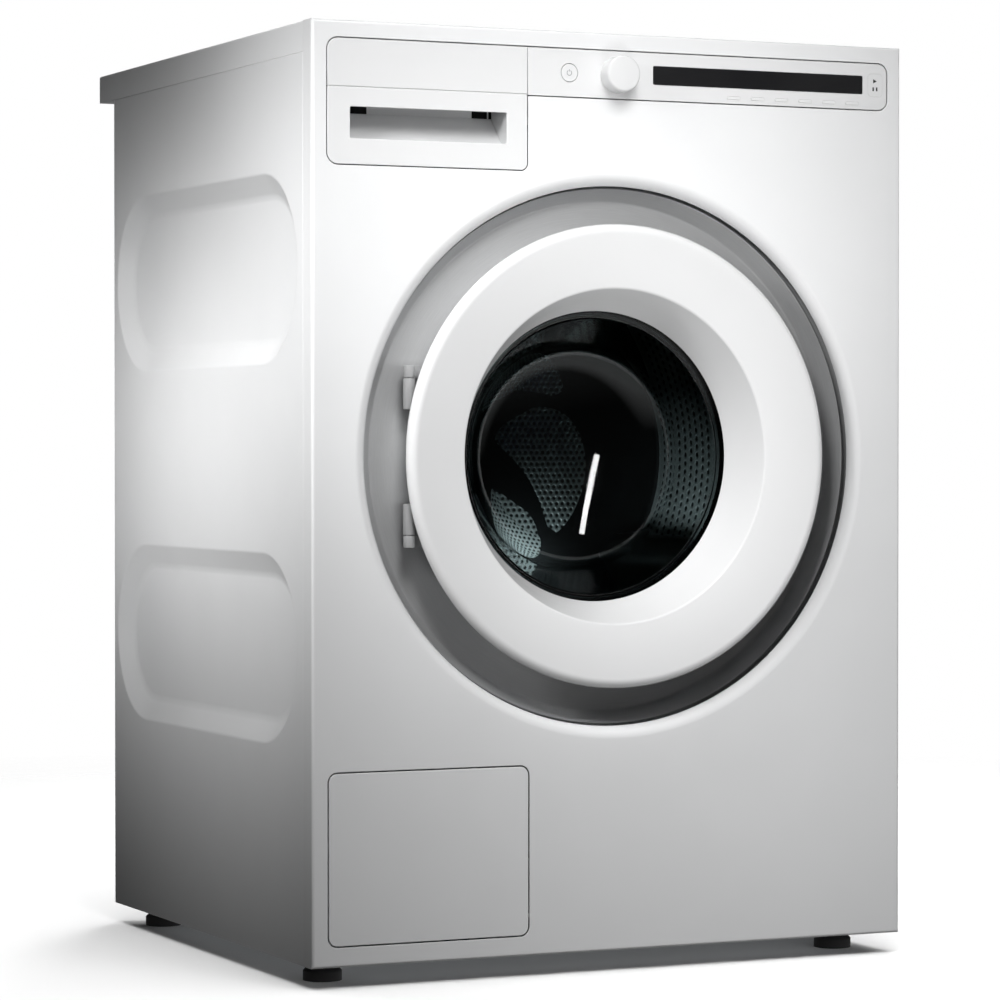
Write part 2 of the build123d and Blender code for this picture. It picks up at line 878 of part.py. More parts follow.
def drain_pump():
    collar = (pump_front, pump_front + 2 * pump_wall)
    motor_span = (pump_motor_front, pump_motor_front + pump_motor_length)
    body = bar_y(pump_x, (pump_front, pump_motor_front), pump_z, pump_radius)
    body += bar_y(pump_x, collar, pump_z, pump_radius + pump_wall)
    body += bar_y(pump_x, motor_span, pump_z, pump_motor_radius)
    foot_x_span = (pump_x - pump_bore / 2, pump_x + pump_bore / 2)
    foot_span = (pump_front + 2 * pump_wall, pump_chamber)
    body += block(foot_x_span, foot_span, (pan_top, pump_z))
    stub_x = (pump_x, pump_x + pump_radius + 3 * pump_wall)
    body += bar_x(stub_x, pump_inlet_depth, pump_z, sump_nipple)
    body += bar_z(pump_outlet_x, drain_hose_depth, (pump_z, drain_hose_z - drain_bend), drain_hose_bore)
    chamber = (pump_chamber - 2 * pump_wall, pump_motor_front - pump_wall)
    shaft_bore = (pump_chamber, pump_motor_front + 2 * pump_wall)
    body -= bar_y(pump_x, (pump_front - sheet, pump_chamber - pump_wall), pump_z, pump_bore)
    body -= bar_y(pump_x, chamber, pump_z, pump_chamber_bore)
    body -= bar_y(pump_x, shaft_bore, pump_z, knob_stem + running_clearance)
    body -= bar_x((pump_x, stub_x[1] + sheet), pump_inlet_depth, pump_z, sump_nipple - pump_wall)
    return body


def drain_filter():
    seat = pump_front - seam
    cap = bar_y(pump_x, (seat - filter_cap_thickness, seat), pump_z, filter_cap)
    cap = chamfer(cap.edges().sort_by(Axis.Y)[0], sheet)
    grip = (seat - filter_cap_thickness - filter_grip, seat - filter_cap_thickness)
    grip_half = filter_cap - 2 * filter_wall
    grip_z = (pump_z - filter_wall, pump_z + filter_wall)
    cap += block((pump_x - grip_half, pump_x + grip_half), grip, grip_z)
    outer = pump_bore - 2 * seam
    sieve = bar_y(pump_x, (seat, seat + filter_length), pump_z, outer)
    hollow = (seat + filter_wall, seat + filter_length + sheet)
    sieve -= bar_y(pump_x, hollow, pump_z, outer - filter_wall)
    window = (seat + 4 * filter_wall, seat + filter_length - 3 * filter_wall)
    for turn in (0, 90):
        slot = block((-pump_bore, pump_bore), window, (-outer / 2, outer / 2))
        sieve -= Pos(pump_x, 0, pump_z) * Rot(0, turn, 0) * slot
    return cap + sieve


def pump_impeller():
    span = (pump_chamber - pump_wall + seam, pump_motor_front - pump_wall - sheet)
    hub = bar_y(pump_x, span, pump_z, 3 * knob_stem)
    blade = block((pump_x, pump_x + impeller_radius), span, (pump_z - sheet, pump_z + sheet))
    for copy in polar(blade, impeller_blades, pump_z, pump_x):
        hub += copy
    return hub + bar_y(pump_x, (span[1], pump_motor_front + pump_wall), pump_z, knob_stem)


def steel_seal_ring():
    line = [
        (ring_rim, sheet + seam),
        (ring_rim, ring_shelf_depth),
        (ring_shelf_radius, ring_shelf_depth),
        (ring_floor_radius, ring_floor_depth),
        (throat_radius, ring_floor_depth),
        (throat_radius, throat_end),
    ]
    ring = turned(wall(line, -sheet))
    half = latch_height / 2 + latch_play
    slot_x = (latch_x - latch_play, latch_x + latch_thickness + latch_play)
    slot_depth = (ring_floor_depth - sheet, ring_floor_depth + 2 * sheet)
    return ring - block(slot_x, slot_depth, (axis_z - half, axis_z + half))


def tub_bellows():
    front = ring_floor_depth + sheet + seam
    rear = tub_neck_depth - seam
    radii = [bellows_low, bellows_low, bellows_high, bellows_low, bellows_high, bellows_high]
    step = (rear - front) / (len(radii) - 1)
    line = [(radius, front + step * i) for i, radius in enumerate(radii)]
    return turned(wall(line, -bellows_wall))


def door_lock():
    half = latch_height / 2 + latch_play
    front = ring_floor_depth + sheet
    rear = front + lock_length
    x = (latch_x - latch_play, latch_x + latch_thickness + latch_play)
    tall = half + lock_wall
    case = block((x[0] - lock_wall, x[1] + lock_wall), (front, rear), (axis_z - tall, axis_z + tall))
    return case - block(x, (front - sheet, rear - lock_wall), (axis_z - half, axis_z + half))


def hinge_spans(low, high):
    """Heights above and below the door's middle, as pairs of Z."""
    return [(axis_z + low, axis_z + high), (axis_z - high, axis_z - low)]


def hinge_bracket():
    brackets = []
    for z in hinge_spans(hinge_lug_near, hinge_lug_far):
        lug = bar_z(hinge_x, hinge_depth, z, hinge_knuckle)
        lug_x = (hinge_x - hinge_knuckle, hinge_x + hinge_knuckle)
        lug += block(lug_x, (hinge_depth, ring_floor_depth), z)
        back = (ring_floor_depth - hinge_plate, ring_floor_depth)
        lug += block((hinge_plate_left, hinge_plate_right), back, z)
        brackets.append(lug - bar_z(hinge_x, hinge_depth, z, hinge_pin + running_clearance))
    return brackets


def hinge_pins():
    return [bar_z(hinge_x, hinge_depth, z, hinge_pin) for z in hinge_spans(hinge_lug_near, hinge_arm_far)]


def door_hinge_arms():
    arms = []
    for z in hinge_spans(hinge_lug_far + seam, hinge_arm_far):
        arm = bar_z(hinge_x, hinge_depth, z, hinge_knuckle)
        leaf = (inner_frame_depth, inner_frame_depth + hinge_plate)
        arm += block((hinge_x - hinge_knuckle, hinge_x), (hinge_depth, leaf[1]), z)
        arm += block((hinge_x - hinge_knuckle, hinge_arm_end), leaf, z)
        arms.append(arm - bar_z(hinge_x, hinge_depth, z, hinge_pin + running_clearance))
    return arms


def door_frame():
    dish_slope = (door_dish_depth + door_projection) / (door_radius - door_edge_round - door_dish_radius)
    line = [
        (door_back_radius, door_back_depth),
        (door_radius - door_edge_round + door_skin / 2, -sheet),
        (door_radius, door_rim_depth),
        (door_radius, -door_projection - dish_slope * door_edge_round),
        (door_dish_radius, door_dish_depth),
        (door_crease_radius, door_crease_depth),
        (window_radius, window_depth),
    ]
    rounds = {3: door_edge_round, 4: door_skin, 5: 2 * door_edge_round, 10: door_skin}
    return turned(wall(line, -door_skin), rounds)


def door_inner_frame():
    end = glass_seat + glass_thickness + seam + door_skin
    line = [
        (glass_flange - 3 * door_skin, end),
        (inner_frame_neck, end),
        (inner_frame_neck, inner_frame_depth),
        (inner_frame_flat, inner_frame_depth),
        (door_back_radius, door_back_depth + 3 * door_skin),
        (door_back_radius, door_back_depth + seam),
    ]
    return turned(wall(line, -door_skin), {1: door_skin})


def door_glass():
    line = [
        (glass_flange, glass_seat),
        (glass_shoulder, glass_seat),
        (glass_bottom_radius, glass_reach),
        (0, glass_reach + glass_thickness),
    ]
    bowl = 7 * glass_thickness
    rounds = {1: 2 * glass_thickness, 2: bowl, 5: bowl + glass_thickness, 6: glass_thickness}
    return turned(wall(line, -glass_thickness), rounds)


def door_seal():
    tip = ring_floor_depth - seam
    middle = (seal_outer + seal_inner) / 2
    corners = [
        (seal_inner, inner_frame_depth),
        (seal_outer, inner_frame_depth),
        (middle + door_skin, tip),
        (middle - door_skin, tip),
    ]
    return turned(corners)


def door_latch_hook():
    half = latch_height / 2
    x = (latch_x, latch_x + latch_thickness)
    hook = block(x, (inner_frame_depth, latch_reach), (axis_z - half, axis_z + half))
    window = (latch_reach - 2 * latch_thickness, latch_reach - latch_thickness)
    return hook - block(x, window, (axis_z - half + latch_play, axis_z + half - latch_play))


def shock_lugs(places):
    lugs = None
    for x, depth in places:
        span = (depth - shock_lug, depth + shock_lug)
        post = block((x - shock_lug, x + shock_lug), span, (shock_seat, axis_z))
        post -= bar_y(0, span, axis_z, tub_radius - tub_wall / 2)
        post = post.solids().sort_by(Axis.Z)[0]
        lugs = post if lugs is None else lugs + post
    return lugs


def tub_front_shell():
    rear = tub_split - seam
    line = [
        (tub_neck + tub_wall, tub_neck_depth),
        (tub_neck + tub_wall, tub_front),
        (tub_radius, tub_front),
        (tub_radius, rear - tub_flange_thickness),
        (tub_flange, rear - tub_flange_thickness),
        (tub_flange, rear),
        (tub_radius - tub_wall, rear),
        (tub_radius - tub_wall, tub_front + tub_wall),
        (tub_neck, tub_front + tub_wall),
        (tub_neck, tub_neck_depth),
    ]
    shell = turned(line)
    shell += shock_lugs(shocks[:2])
    sump_shell = axis_z - math.sqrt(tub_radius**2 - sump_x**2)
    nipple_z = (sump_nipple_bottom, sump_shell + 2 * tub_wall)
    nipple = bar_z(sump_x, pump_inlet_depth, nipple_z, sump_nipple)
    inside = bar_y(0, (tub_front, rear), axis_z, tub_radius - tub_wall / 2)
    shell += nipple - inside
    fill_shell = axis_z + math.sqrt(tub_radius**2 - fill_x**2)
    filler = bar_z(fill_x, fill_depth, (fill_shell - 4 * tub_wall, fill_nipple_top), fill_nipple)
    shell += filler - inside
    bore_z = (sump_nipple_bottom - sheet, axis_z - drum_radius)
    shell -= bar_z(sump_x, pump_inlet_depth, bore_z, sump_nipple - tub_wall)
    shell -= bar_z(fill_x, fill_depth, (axis_z, fill_nipple_top + sheet), fill_nipple - tub_wall)
    return shell


def tub_rear_shell():
    line = [
        (tub_flange, tub_split),
        (tub_flange, tub_split + tub_flange_thickness),
        (tub_radius, tub_split + tub_flange_thickness),
        (tub_radius, tub_rear),
        (hub_radius, tub_rear),
        (hub_radius, hub_end),
        (bearing_radius, hub_end),
        (bearing_radius, tub_rear - tub_wall),
        (tub_radius - tub_wall, tub_rear - tub_wall),
        (tub_radius - tub_wall, tub_split),
    ]
    shell = turned(line)
    rib_z = (axis_z - tub_rib / 2, axis_z + tub_rib / 2)
    rib_depth = (tub_rear, tub_rear + tub_rib_depth)
    rib = block((hub_radius - tub_rib, tub_radius - tub_rib), rib_depth, rib_z)
    for copy in polar(rib, tub_rib_count):
        shell += copy
    shell += shock_lugs(shocks[2:])
    strap_x = (motor_x - motor_radius / 2, motor_x + motor_radius / 2)
    for front in (motor_front + motor_strap, motor_front + motor_length - 2 * motor_strap):
        depth = (front, front + motor_strap)
        strap = block(strap_x, depth, (motor_z, axis_z - tub_radius / 2))
        strap -= bar_y(motor_x, depth, motor_z, motor_radius + running_clearance)
        strap -= bar_y(0, depth, axis_z, tub_radius - tub_wall / 2)
        shell += strap.solids().sort_by(Axis.Z)[0]
    return shell


def counterweights():
    span = (weight_front, tub_front)
    ring = bar_y(0, span, axis_z, weight_outer) - bar_y(0, span, axis_z, weight_inner)
    side = tub_radius * math.tan(math.radians(weight_half_angle))
    low = axis_z - tub_radius
    fan = make_face(Polyline((0, axis_z), (side, low), (-side, low), close=True))
    lower = ring & plate(fan, span)
    upper = block(top_weight_x, top_weight_depth, (axis_z, top_weight_z))
    upper -= bar_y(0, top_weight_depth, axis_z, tub_radius + running_clearance)
    upper = upper.solids().sort_by(Axis.Z)[-1]
    return [*lower.solids(), upper]


def drum_bearings():
    rings = []
    for front in (tub_rear - tub_wall + sheet, hub_end - bearing_width):
        inner = shaft_radius + running_clearance
        span = (front, front + bearing_width)
        rings.append(bar_y(0, span, axis_z, bearing_radius) - bar_y(0, span, axis_z, inner))
    return rings


def drum_shell():
    line = [
        (drum_mouth, drum_front + 4 * drum_wall),
        (drum_mouth, drum_front),
        (drum_mouth + 4 * drum_wall, drum_front),
        (drum_radius, drum_shoulder),
        (drum_radius, drum_rear),
        (0, drum_rear),
    ]
    return turned(wall(line, drum_wall))


def drum_lifters():
    inner = drum_radius - drum_wall - seam
    top = inner - lifter_height
    corners = [
        (-lifter_width / 2, inner + lifter_height),
        (-lifter_width / 2, inner - lifter_height / 4),
        (-lifter_crest / 2, top),
        (lifter_crest / 2, top),
        (lifter_width / 2, inner - lifter_height / 4),
        (lifter_width / 2, inner + lifter_height),
    ]
    rounds = [0, lifter_crest, lifter_crest / 2, lifter_crest / 2, lifter_crest, 0]
    places = [(x, axis_z + r) for x, r in corners]
    section = make_face(FilletPolyline(*places, radius=rounds, close=True))
    paddle = plate(section, lifter_span) & bar_y(0, lifter_span, axis_z, inner)
    return polar(paddle, lifter_count)


def drum_spider():
    span = (drum_rear, drum_rear + spider_thickness)
    spider = bar_y(0, span, axis_z, spider_hub)
    corners = [
        (-spider_arm_root / 2, axis_z),
        (spider_arm_root / 2, axis_z),
        (spider_arm_tip / 2, axis_z + spider_reach),
        (-spider_arm_tip / 2, axis_z + spider_reach),
    ]
    arm = plate(make_face(Polyline(*corners, close=True)), span)
    for copy in polar(arm, lifter_count):
        spider += copy
    spider += bar_y(0, (span[1], hub_end), axis_z, shaft_radius)
    return spider + bar_y(0, (hub_end, stub_end), axis_z, stub_radius)


def drum_pulley():
    span = (pulley_front, pulley_front + pulley_width)
    inner = pulley_radius - pulley_rim
    pulley = bar_y(0, span, axis_z, pulley_radius) - bar_y(0, span, axis_z, inner)
    pulley += bar_y(0, span, axis_z, pulley_hub)
    middle = sum(span) / 2
    web = (middle - pulley_web / 2, middle + pulley_web / 2)
    spoke = block((-pulley_spoke / 2, pulley_spoke / 2), web, (axis_z, axis_z + inner + pulley_rim / 2))
    for copy in polar(spoke, pulley_spokes):
        pulley += copy
    return pulley - bar_y(0, span, axis_z, stub_radius)


def belt_loop(gap):
    """The flat outline round both pulleys, at a gap from their rims."""
    drum = Pos(0, axis_z) * Circle(pulley_radius + gap)
    motor_end = Pos(motor_x, motor_z) * Circle(motor_pulley_radius + gap)
    return make_hull(drum.edges() + motor_end.edges())


def drive_belt():
    front = pulley_front + (pulley_width - belt_width) / 2
    loop = belt_loop(belt_gap + belt_thickness) - belt_loop(belt_gap)
    return plate(loop, (front, front + belt_width))


def motor():
    span = (motor_front, motor_front + motor_length)
    body = bar_y(motor_x, span, motor_z, motor_radius)
    body = chamfer(body.edges().filter_by(GeomType.CIRCLE), motor_strap / 2)
    rear = (span[1], span[1] + motor_bearing_length)
    body += bar_y(motor_x, rear, motor_z, 3 * motor_shaft)
    bore = (span[1] - motor_bearing_length, rear[1])
    return body - bar_y(motor_x, bore, motor_z, motor_shaft + running_clearance)


def motor_pulley():
    span = (pulley_front, pulley_front + pulley_width)
    shaft = (motor_front + motor_length - motor_bearing_length + seam, span[1])
    wheel = bar_y(motor_x, span, motor_z, motor_pulley_radius)
    return wheel + bar_y(motor_x, shaft, motor_z, motor_shaft)


def heating_element():
    ring = (drum_radius + tub_radius - tub_wall) / 2
    span = (heater_front - heater_radius / 2, tub_rear - tub_wall)
    leg = bar_y(0, span, axis_z - ring, heater_radius)
    centre = Pos(0, 0, axis_z)
    turns = (-heater_half_angle, heater_half_angle)
    legs = [centre * Rot(0, turn, 0) * centre.inverse() * leg for turn in turns]
    bend = Plane.YZ * (Pos(at(heater_front), -ring) * Circle(heater_radius))
    bend = centre * Rot(0, -heater_half_angle, 0) * revolve(bend, Axis.Y, 2 * heater_half_angle)
    return legs[0] + legs[1] + bend


def shock_cylinders():
    tubes = []
    for x, depth in shocks:
        tube = bar_z(x, depth, (pan_top, shock_top), shock_radius)
        tube = chamfer(tube.edges().sort_by(Axis.Z)[-1], 2 * sheet)
        bore_z = (pan_top + shock_floor, shock_top)
        tubes.append(tube - bar_z(x, depth, bore_z, shock_rod + hose_gap))
    return tubes


def shock_rods():
    return [bar_z(x, depth, (shock_rod_bottom, shock_seat), shock_rod) for x, depth in shocks]


def inner_hoses():
    sump_bore = sump_nipple + hose_gap
    inlet_end = pump_x + pump_radius + pump_wall
    sump_route = [
        (sump_x, pump_inlet_depth, sump_hose_top),
        (sump_x, pump_inlet_depth, pump_z),
        (inlet_end, pump_inlet_depth, pump_z),
    ]
    sump = hose(sump_route, sump_bend, sump_bore + hose_wall, sump_bore)
    fill_bore = fill_nipple + hose_gap
    fill = bar_z(fill_x, fill_depth, (fill_hose_bottom, housing_bottom), fill_bore + hose_wall)
    fill -= bar_z(fill_x, fill_depth, (fill_hose_bottom, housing_bottom), fill_bore)
    drain_route = [
        (pump_outlet_x, drain_hose_depth, drain_hose_z - drain_bend),
        (pump_outlet_x, drain_hose_depth, drain_hose_z),
        (pump_outlet_x, rear_inner - spigot_flange, drain_hose_z),
    ]
    drain = hose(drain_route, drain_bend_radius, drain_hose_radius, drain_hose_bore)
    valve_front = rear_inner - inlet_body_depth
    housing_rear = housing_front + housing_length
    housing_x = (housing_left + housing_right) / 2
    water_route = [
        (inlet_x, valve_front, inlet_z),
        (inlet_x, water_hose_depth, inlet_z),
        (housing_x, water_hose_depth, inlet_z),
        (housing_x, housing_rear, inlet_z),
    ]
    water = hose(water_route, water_hose_bend, water_hose_radius, water_hose_bore)
    return [sump, fill, drain, water]


def inlet_valve():
    half = inlet_body / 2
    inside = (rear_inner - inlet_body_depth, rear_inner)
    outside = (body_depth, body_depth + inlet_length)
    body = block((inlet_x - half, inlet_x + half), inside, (inlet_z - half, inlet_z + half))
    body = fillet(body.edges().filter_by(Axis.Y), 2 * corner_round)
    body += bar_y(inlet_x, (rear_inner, body_depth), inlet_z, inlet_radius - seam)
    body += bar_y(inlet_x, outside, inlet_z, inlet_radius)
    return body - bar_y(inlet_x, outside, inlet_z, inlet_radius - corner_round)


def drain_outlet():
    inside = (rear_inner - spigot_flange, rear_inner)
    outside = (body_depth, body_depth + spigot_length)
    fitting = bar_y(pump_outlet_x, inside, drain_hose_z, drain_hose_radius + corner_round)
    fitting += bar_y(pump_outlet_x, (rear_inner, body_depth), drain_hose_z, spigot_radius - seam)
    fitting += bar_y(pump_outlet_x, outside, drain_hose_z, spigot_radius)
    bore = (inside[0], outside[1])
    return fitting - bar_y(pump_outlet_x, bore, drain_hose_z, spigot_radius - corner_round)


def mains_gland():
    nut = bar_y(gland_x, (rear_inner - corner_round, rear_inner), gland_z, gland_flange)
    nut += bar_y(gland_x, (rear_inner, rear_outer), gland_z, gland_radius)
    nose = bar_y(gland_x, (rear_outer, rear_outer + gland_length), gland_z, gland_flange)
    nose = chamfer(nose.edges().sort_by(Axis.Y)[-1], corner_round)
    through = (rear_inner - 2 * corner_round, rear_outer + gland_length + sheet)
    return nut + nose - bar_y(gland_x, through, gland_z, gland_bore)


def save(name, shapes):
    """Write one piece, or a group of like pieces, to its file."""
    group = shapes if isinstance(shapes, list) else [shapes]
    solids = [solid for shape in group for solid in shape.solids()]
    shape = solids[0] if len(solids) == 1 else Compound(children=solids)
    export_step(shape, os.path.join("parts", f"{name}.step"))


os.makedirs("parts", exist_ok=True)

left_panel, right_panel = side_panels()
save("front_panel", front_panel())
save("left_side_panel", left_panel)
save("right_side_panel", right_panel)
save("rear_panel", rear_panel())
save("rear_service_cover", rear_service_cover())
save("worktop", worktop())
save("base_pan", base_pan())
save("cabinet_screws", cabinet_screws())
for side_name, place in zip(("front_left", "front_right", "rear_left", "rear_right"), foot_places()):
    save(f"foot_{side_name}", foot(*place))

save("control_fascia", control_fascia())
save("display_window", plate(window_outline(), (0, window_thickness)))
save("program_knob", program_knob())
save("power_button", button(power_outline(), 0))
save("start_button", button(start_outline(), 0))
for number, key_x in enumerate(key_places(), 1):
    save(f"option_key_{number}", button(key_outline(key_x), key_proud))

save("drawer_front", drawer_front())
save("drawer_tray", drawer_tray())
save("drawer_siphon_cap", drawer_siphon_cap())
save("dispenser_housing", dispenser_housing())
save("inlet_valve", inlet_valve())

save("service_flap", service_flap())
save("drain_pump", drain_pump())
save("drain_filter", drain_filter())
save("pump_impeller", pump_impeller())
save("drain_outlet", drain_outlet())
save("mains_gland", mains_gland())
save("inner_hoses", inner_hoses())

save("steel_seal_ring", steel_seal_ring())
save("tub_bellows", tub_bellows())
save("door_lock", door_lock())
save("hinge_bracket", hinge_bracket())
save("hinge_pins", hinge_pins())
save("door_frame", door_frame())
save("door_inner_frame", door_inner_frame())
save("door_glass", door_glass())
save("door_seal", door_seal())
save("door_hinge_arms", door_hinge_arms())
save("door_latch_hook", door_latch_hook())

save("tub_front_shell", tub_front_shell())
save("tub_rear_shell", tub_rear_shell())
save("counterweights", counterweights())
save("drum_bearings", drum_bearings())
save("motor", motor())
save("shock_cylinders", shock_cylinders())
save("shock_rods", shock_rods())
save("heating_element", heating_element())
save("drive_belt", drive_belt())
save("drum_shell", drum_shell())
save("drum_spider", drum_spider())
save("drum_lifters", drum_lifters())
save("drum_pulley", drum_pulley())
save("motor_pulley", motor_pulley())
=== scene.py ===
import math

import bmesh
import bpy
from mathutils import Matrix, Quaternion, Vector


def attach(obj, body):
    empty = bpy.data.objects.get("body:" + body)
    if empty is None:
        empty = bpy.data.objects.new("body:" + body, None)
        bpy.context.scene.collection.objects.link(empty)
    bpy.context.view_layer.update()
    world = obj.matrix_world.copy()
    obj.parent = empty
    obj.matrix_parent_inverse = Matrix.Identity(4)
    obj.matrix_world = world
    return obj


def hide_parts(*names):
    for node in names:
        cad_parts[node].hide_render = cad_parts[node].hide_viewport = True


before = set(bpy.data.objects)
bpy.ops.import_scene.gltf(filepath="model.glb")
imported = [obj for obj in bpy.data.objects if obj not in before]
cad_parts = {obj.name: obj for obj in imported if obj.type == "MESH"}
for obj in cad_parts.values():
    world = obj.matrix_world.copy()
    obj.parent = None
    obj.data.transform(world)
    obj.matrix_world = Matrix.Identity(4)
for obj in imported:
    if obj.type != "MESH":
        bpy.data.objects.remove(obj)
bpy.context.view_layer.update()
print("frame:", len(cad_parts), "nodes")

# sizes of pieces are in mm, with depth counted back from the front panel
mm = 0.001
machine = {"halfWidth": 297.5, "top": 850.0, "bottom": 19.0, "front": -279.0, "axisZ": 467.6}
tolerance = {"ring": 1e-5, "level": 1e-6, "merge": 1e-7}  # in metres
frontY = machine["front"] * mm
doorAxis = (0.0, machine["axisZ"])


# mesh helpers
def spot(x, depth, z):
    return Vector((x * mm, frontY + depth * mm, z * mm))


def atDepth(item, depth=0.0):
    level = spot(0, depth, 0).y
    return all(abs(v.co.y - level) < tolerance["level"] for v in item.verts)


def softEdge(work, edges, reach, segments):
    bmesh.ops.bevel(work, geom=edges, offset=reach * mm, offset_type="OFFSET", segments=segments,
                    profile=0.5, affect="EDGES", material=-1, clamp_overlap=True)


def ringEdges(work, radius, depth, centre):
    middle = spot(centre[0], depth, centre[1])
    close = tolerance["ring"]
    level = [v for v in work.verts if abs(v.co.y - middle.y) < close]
    near = {v for v in level if abs((v.co - middle).length - radius * mm) < close}
    return [e for e in work.edges if e.verts[0] in near and e.verts[1] in near]


def turnProfile(work, profile, centre=doorAxis, closed=False, steps=160, segments=6):
    # a profile's rows are radius, depth and corner round
    x, z = centre
    chain = [work.verts.new(spot(x + radius, depth, z)) for radius, depth, corner in profile]
    wires = [work.edges.new(pair) for pair in zip(chain, chain[1:])]
    if closed:
        wires.append(work.edges.new((chain[-1], chain[0])))
    bmesh.ops.spin(work, geom=chain + wires, cent=spot(x, 0, z), axis=(0, 1, 0), angle=math.tau,
                   steps=steps, use_merge=True)
    bmesh.ops.remove_doubles(work, verts=work.verts, dist=tolerance["merge"])
    bmesh.ops.recalc_face_normals(work, faces=work.faces)
    for i, (radius, depth, corner) in enumerate(profile):
        if not corner:
            continue
        before, after = profile[i - 1], profile[(i + 1) % len(profile)]
        legs = [Vector((row[0] - radius, row[1] - depth)) for row in (before, after)]
        reach = corner / math.tan(legs[0].angle(legs[1]) / 2)  # how far the round takes each leg
        softEdge(work, ringEdges(work, radius, depth, centre), reach, segments)


def addPart(work, part):
    mesh = bpy.data.meshes.new("part")
    part.to_mesh(mesh)
    part.free()
    known = set(work.faces)
    work.from_mesh(mesh)
    bpy.data.meshes.remove(mesh)
    return [f for f in work.faces if f not in known]


def outlineFace(work, corners, depth=0.0, segments=8):
    # an outline's rows are x, z and corner round
    part = bmesh.new()
    verts = [part.verts.new(spot(x, depth, z)) for x, z, corner in corners]
    part.faces.new(verts)
    for vert, (x, z, corner) in zip(verts, corners):
        if corner:
            bmesh.ops.bevel(part, geom=[vert], offset=corner * mm, offset_type="OFFSET", segments=segments,
                            profile=0.5, affect="VERTICES", material=-1, clamp_overlap=True)
    return addPart(work, part)


def boxCorners(wide, tall, corners=(0, 0, 0, 0)):
    places = [(wide[0], tall[0]), (wide[1], tall[0]), (wide[1], tall[1]), (wide[0], tall[1])]
    return [(x, z, corner) for (x, z), corner in zip(places, corners)]


def grown(corners, by):
    xs = [row[0] for row in corners]
    zs = [row[1] for row in corners]
    middleX, middleZ = (min(xs) + max(xs)) / 2, (min(zs) + max(zs)) / 2
    return [(x + math.copysign(by, x - middleX), z + math.copysign(by, z - middleZ),
             corner + by if corner else 0) for x, z, corner in corners]


def extrude(work, faces, move):
    made = bmesh.ops.extrude_face_region(work, geom=faces)["geom"]
    bmesh.ops.translate(work, verts=[g for g in made if isinstance(g, bmesh.types.BMVert)], vec=move)
    return [g for g in made if isinstance(g, bmesh.types.BMFace)]


def pushFace(work, faces, move):
    pushed = extrude(work, faces, move)
    bmesh.ops.delete(work, geom=faces, context="FACES_KEEP_BOUNDARY")
    return pushed


def inset(work, faces, by):
    bmesh.ops.inset_region(work, faces=faces, thickness=by * mm, use_even_offset=True, use_boundary=True)


def slab(work, corners, front, back, edge):
    face = outlineFace(work, corners, front)
    rim = {v for f in face for v in f.verts}
    extrude(work, face, (0, (back - front) * mm, 0))
    if edge:
        softEdge(work, [e for e in work.edges if e.verts[0] in rim and e.verts[1] in rim], edge, 3)


def block(work, wide, deep, tall, edge=0.0):
    part = bmesh.new()
    low, high = spot(wide[0], deep[0], tall[0]), spot(wide[1], deep[1], tall[1])
    place = Matrix.Translation((low + high) / 2) @ Matrix.Diagonal((*(high - low), 1.0))
    bmesh.ops.create_cube(part, size=1.0, matrix=place)
    if edge:
        softEdge(part, part.edges[:], edge, 3)
    addPart(work, part)


def post(work, corners, low, high, edge):
    # these rows are x, depth and corner round, drawn upright and then laid flat
    part = bmesh.new()
    outlineFace(part, corners, segments=6)
    for v in part.verts:
        v.co = spot(v.co.x / mm, v.co.z / mm, low)
    extrude(part, part.faces[:], (0, 0, (high - low) * mm))
    bmesh.ops.recalc_face_normals(part, faces=part.faces)
    level = [e for e in part.edges if abs(e.verts[0].co.z - e.verts[1].co.z) < tolerance["merge"]]
    softEdge(part, level, edge, 2)
    addPart(work, part)


def openFront(work, edge, segments):
    back = [f for f in work.faces if f.normal.y > 0.5]
    bmesh.ops.delete(work, geom=back, context="FACES_KEEP_BOUNDARY")
    softEdge(work, [e for e in work.edges if atDepth(e)], edge, segments)
    bmesh.ops.delete(work, geom=[f for f in work.faces if atDepth(f)], context="FACES_KEEP_BOUNDARY")


def fillFront(work, depth=0.0):
    rims = [e for e in work.edges if e.is_boundary and atDepth(e, depth)]
    bmesh.ops.triangle_fill(work, edges=rims, use_beauty=True, use_dissolve=False, normal=(0, -1, 0))


def holeRim(work, corners, margin, sheet, edge=0.35):
    faces = outlineFace(work, corners)
    inset(work, faces, margin)
    rim = list(faces[0].edges)
    pushed = pushFace(work, faces, (0, sheet * mm, 0))
    bmesh.ops.delete(work, geom=pushed, context="FACES")
    softEdge(work, [e for e in rim if e.is_valid], edge, 3)


def keepPiece(work, name, body, finish, nodes=(), flats=False, skin=0.0, inner=False, sharp=32.0):
    bmesh.ops.remove_doubles(work, verts=work.verts, dist=tolerance["level"])
    bmesh.ops.recalc_face_normals(work, faces=work.faces)
    if inner:  # seen from its hollow side
        bmesh.ops.reverse_faces(work, faces=work.faces[:])
    if skin:  # an open skin gets its thickness behind the side that is seen
        bmesh.ops.solidify(work, geom=work.faces[:], thickness=skin * mm)
    mesh = bpy.data.meshes.new(name)
    work.to_mesh(mesh)
    work.free()
    mesh.shade_smooth()
    mesh.set_sharp_from_angle(angle=math.radians(sharp))
    mesh.materials.append(finishes[finish])
    piece = bpy.data.objects.new(name, mesh)
    bpy.context.scene.collection.objects.link(piece)
    if flats:  # keeps wide flats flat beside small rounds
        weights = piece.modifiers.new("flats", "WEIGHTED_NORMAL")
        weights.keep_sharp = True
    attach(piece, body)
    if nodes:
        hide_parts(*nodes)


def turnedPiece(profile, name, body, finish, nodes=(), skin=0.0, inner=False, **turning):
    work = bmesh.new()
    turnProfile(work, profile, **turning)
    keepPiece(work, name, body, finish, nodes, skin=skin, inner=inner)


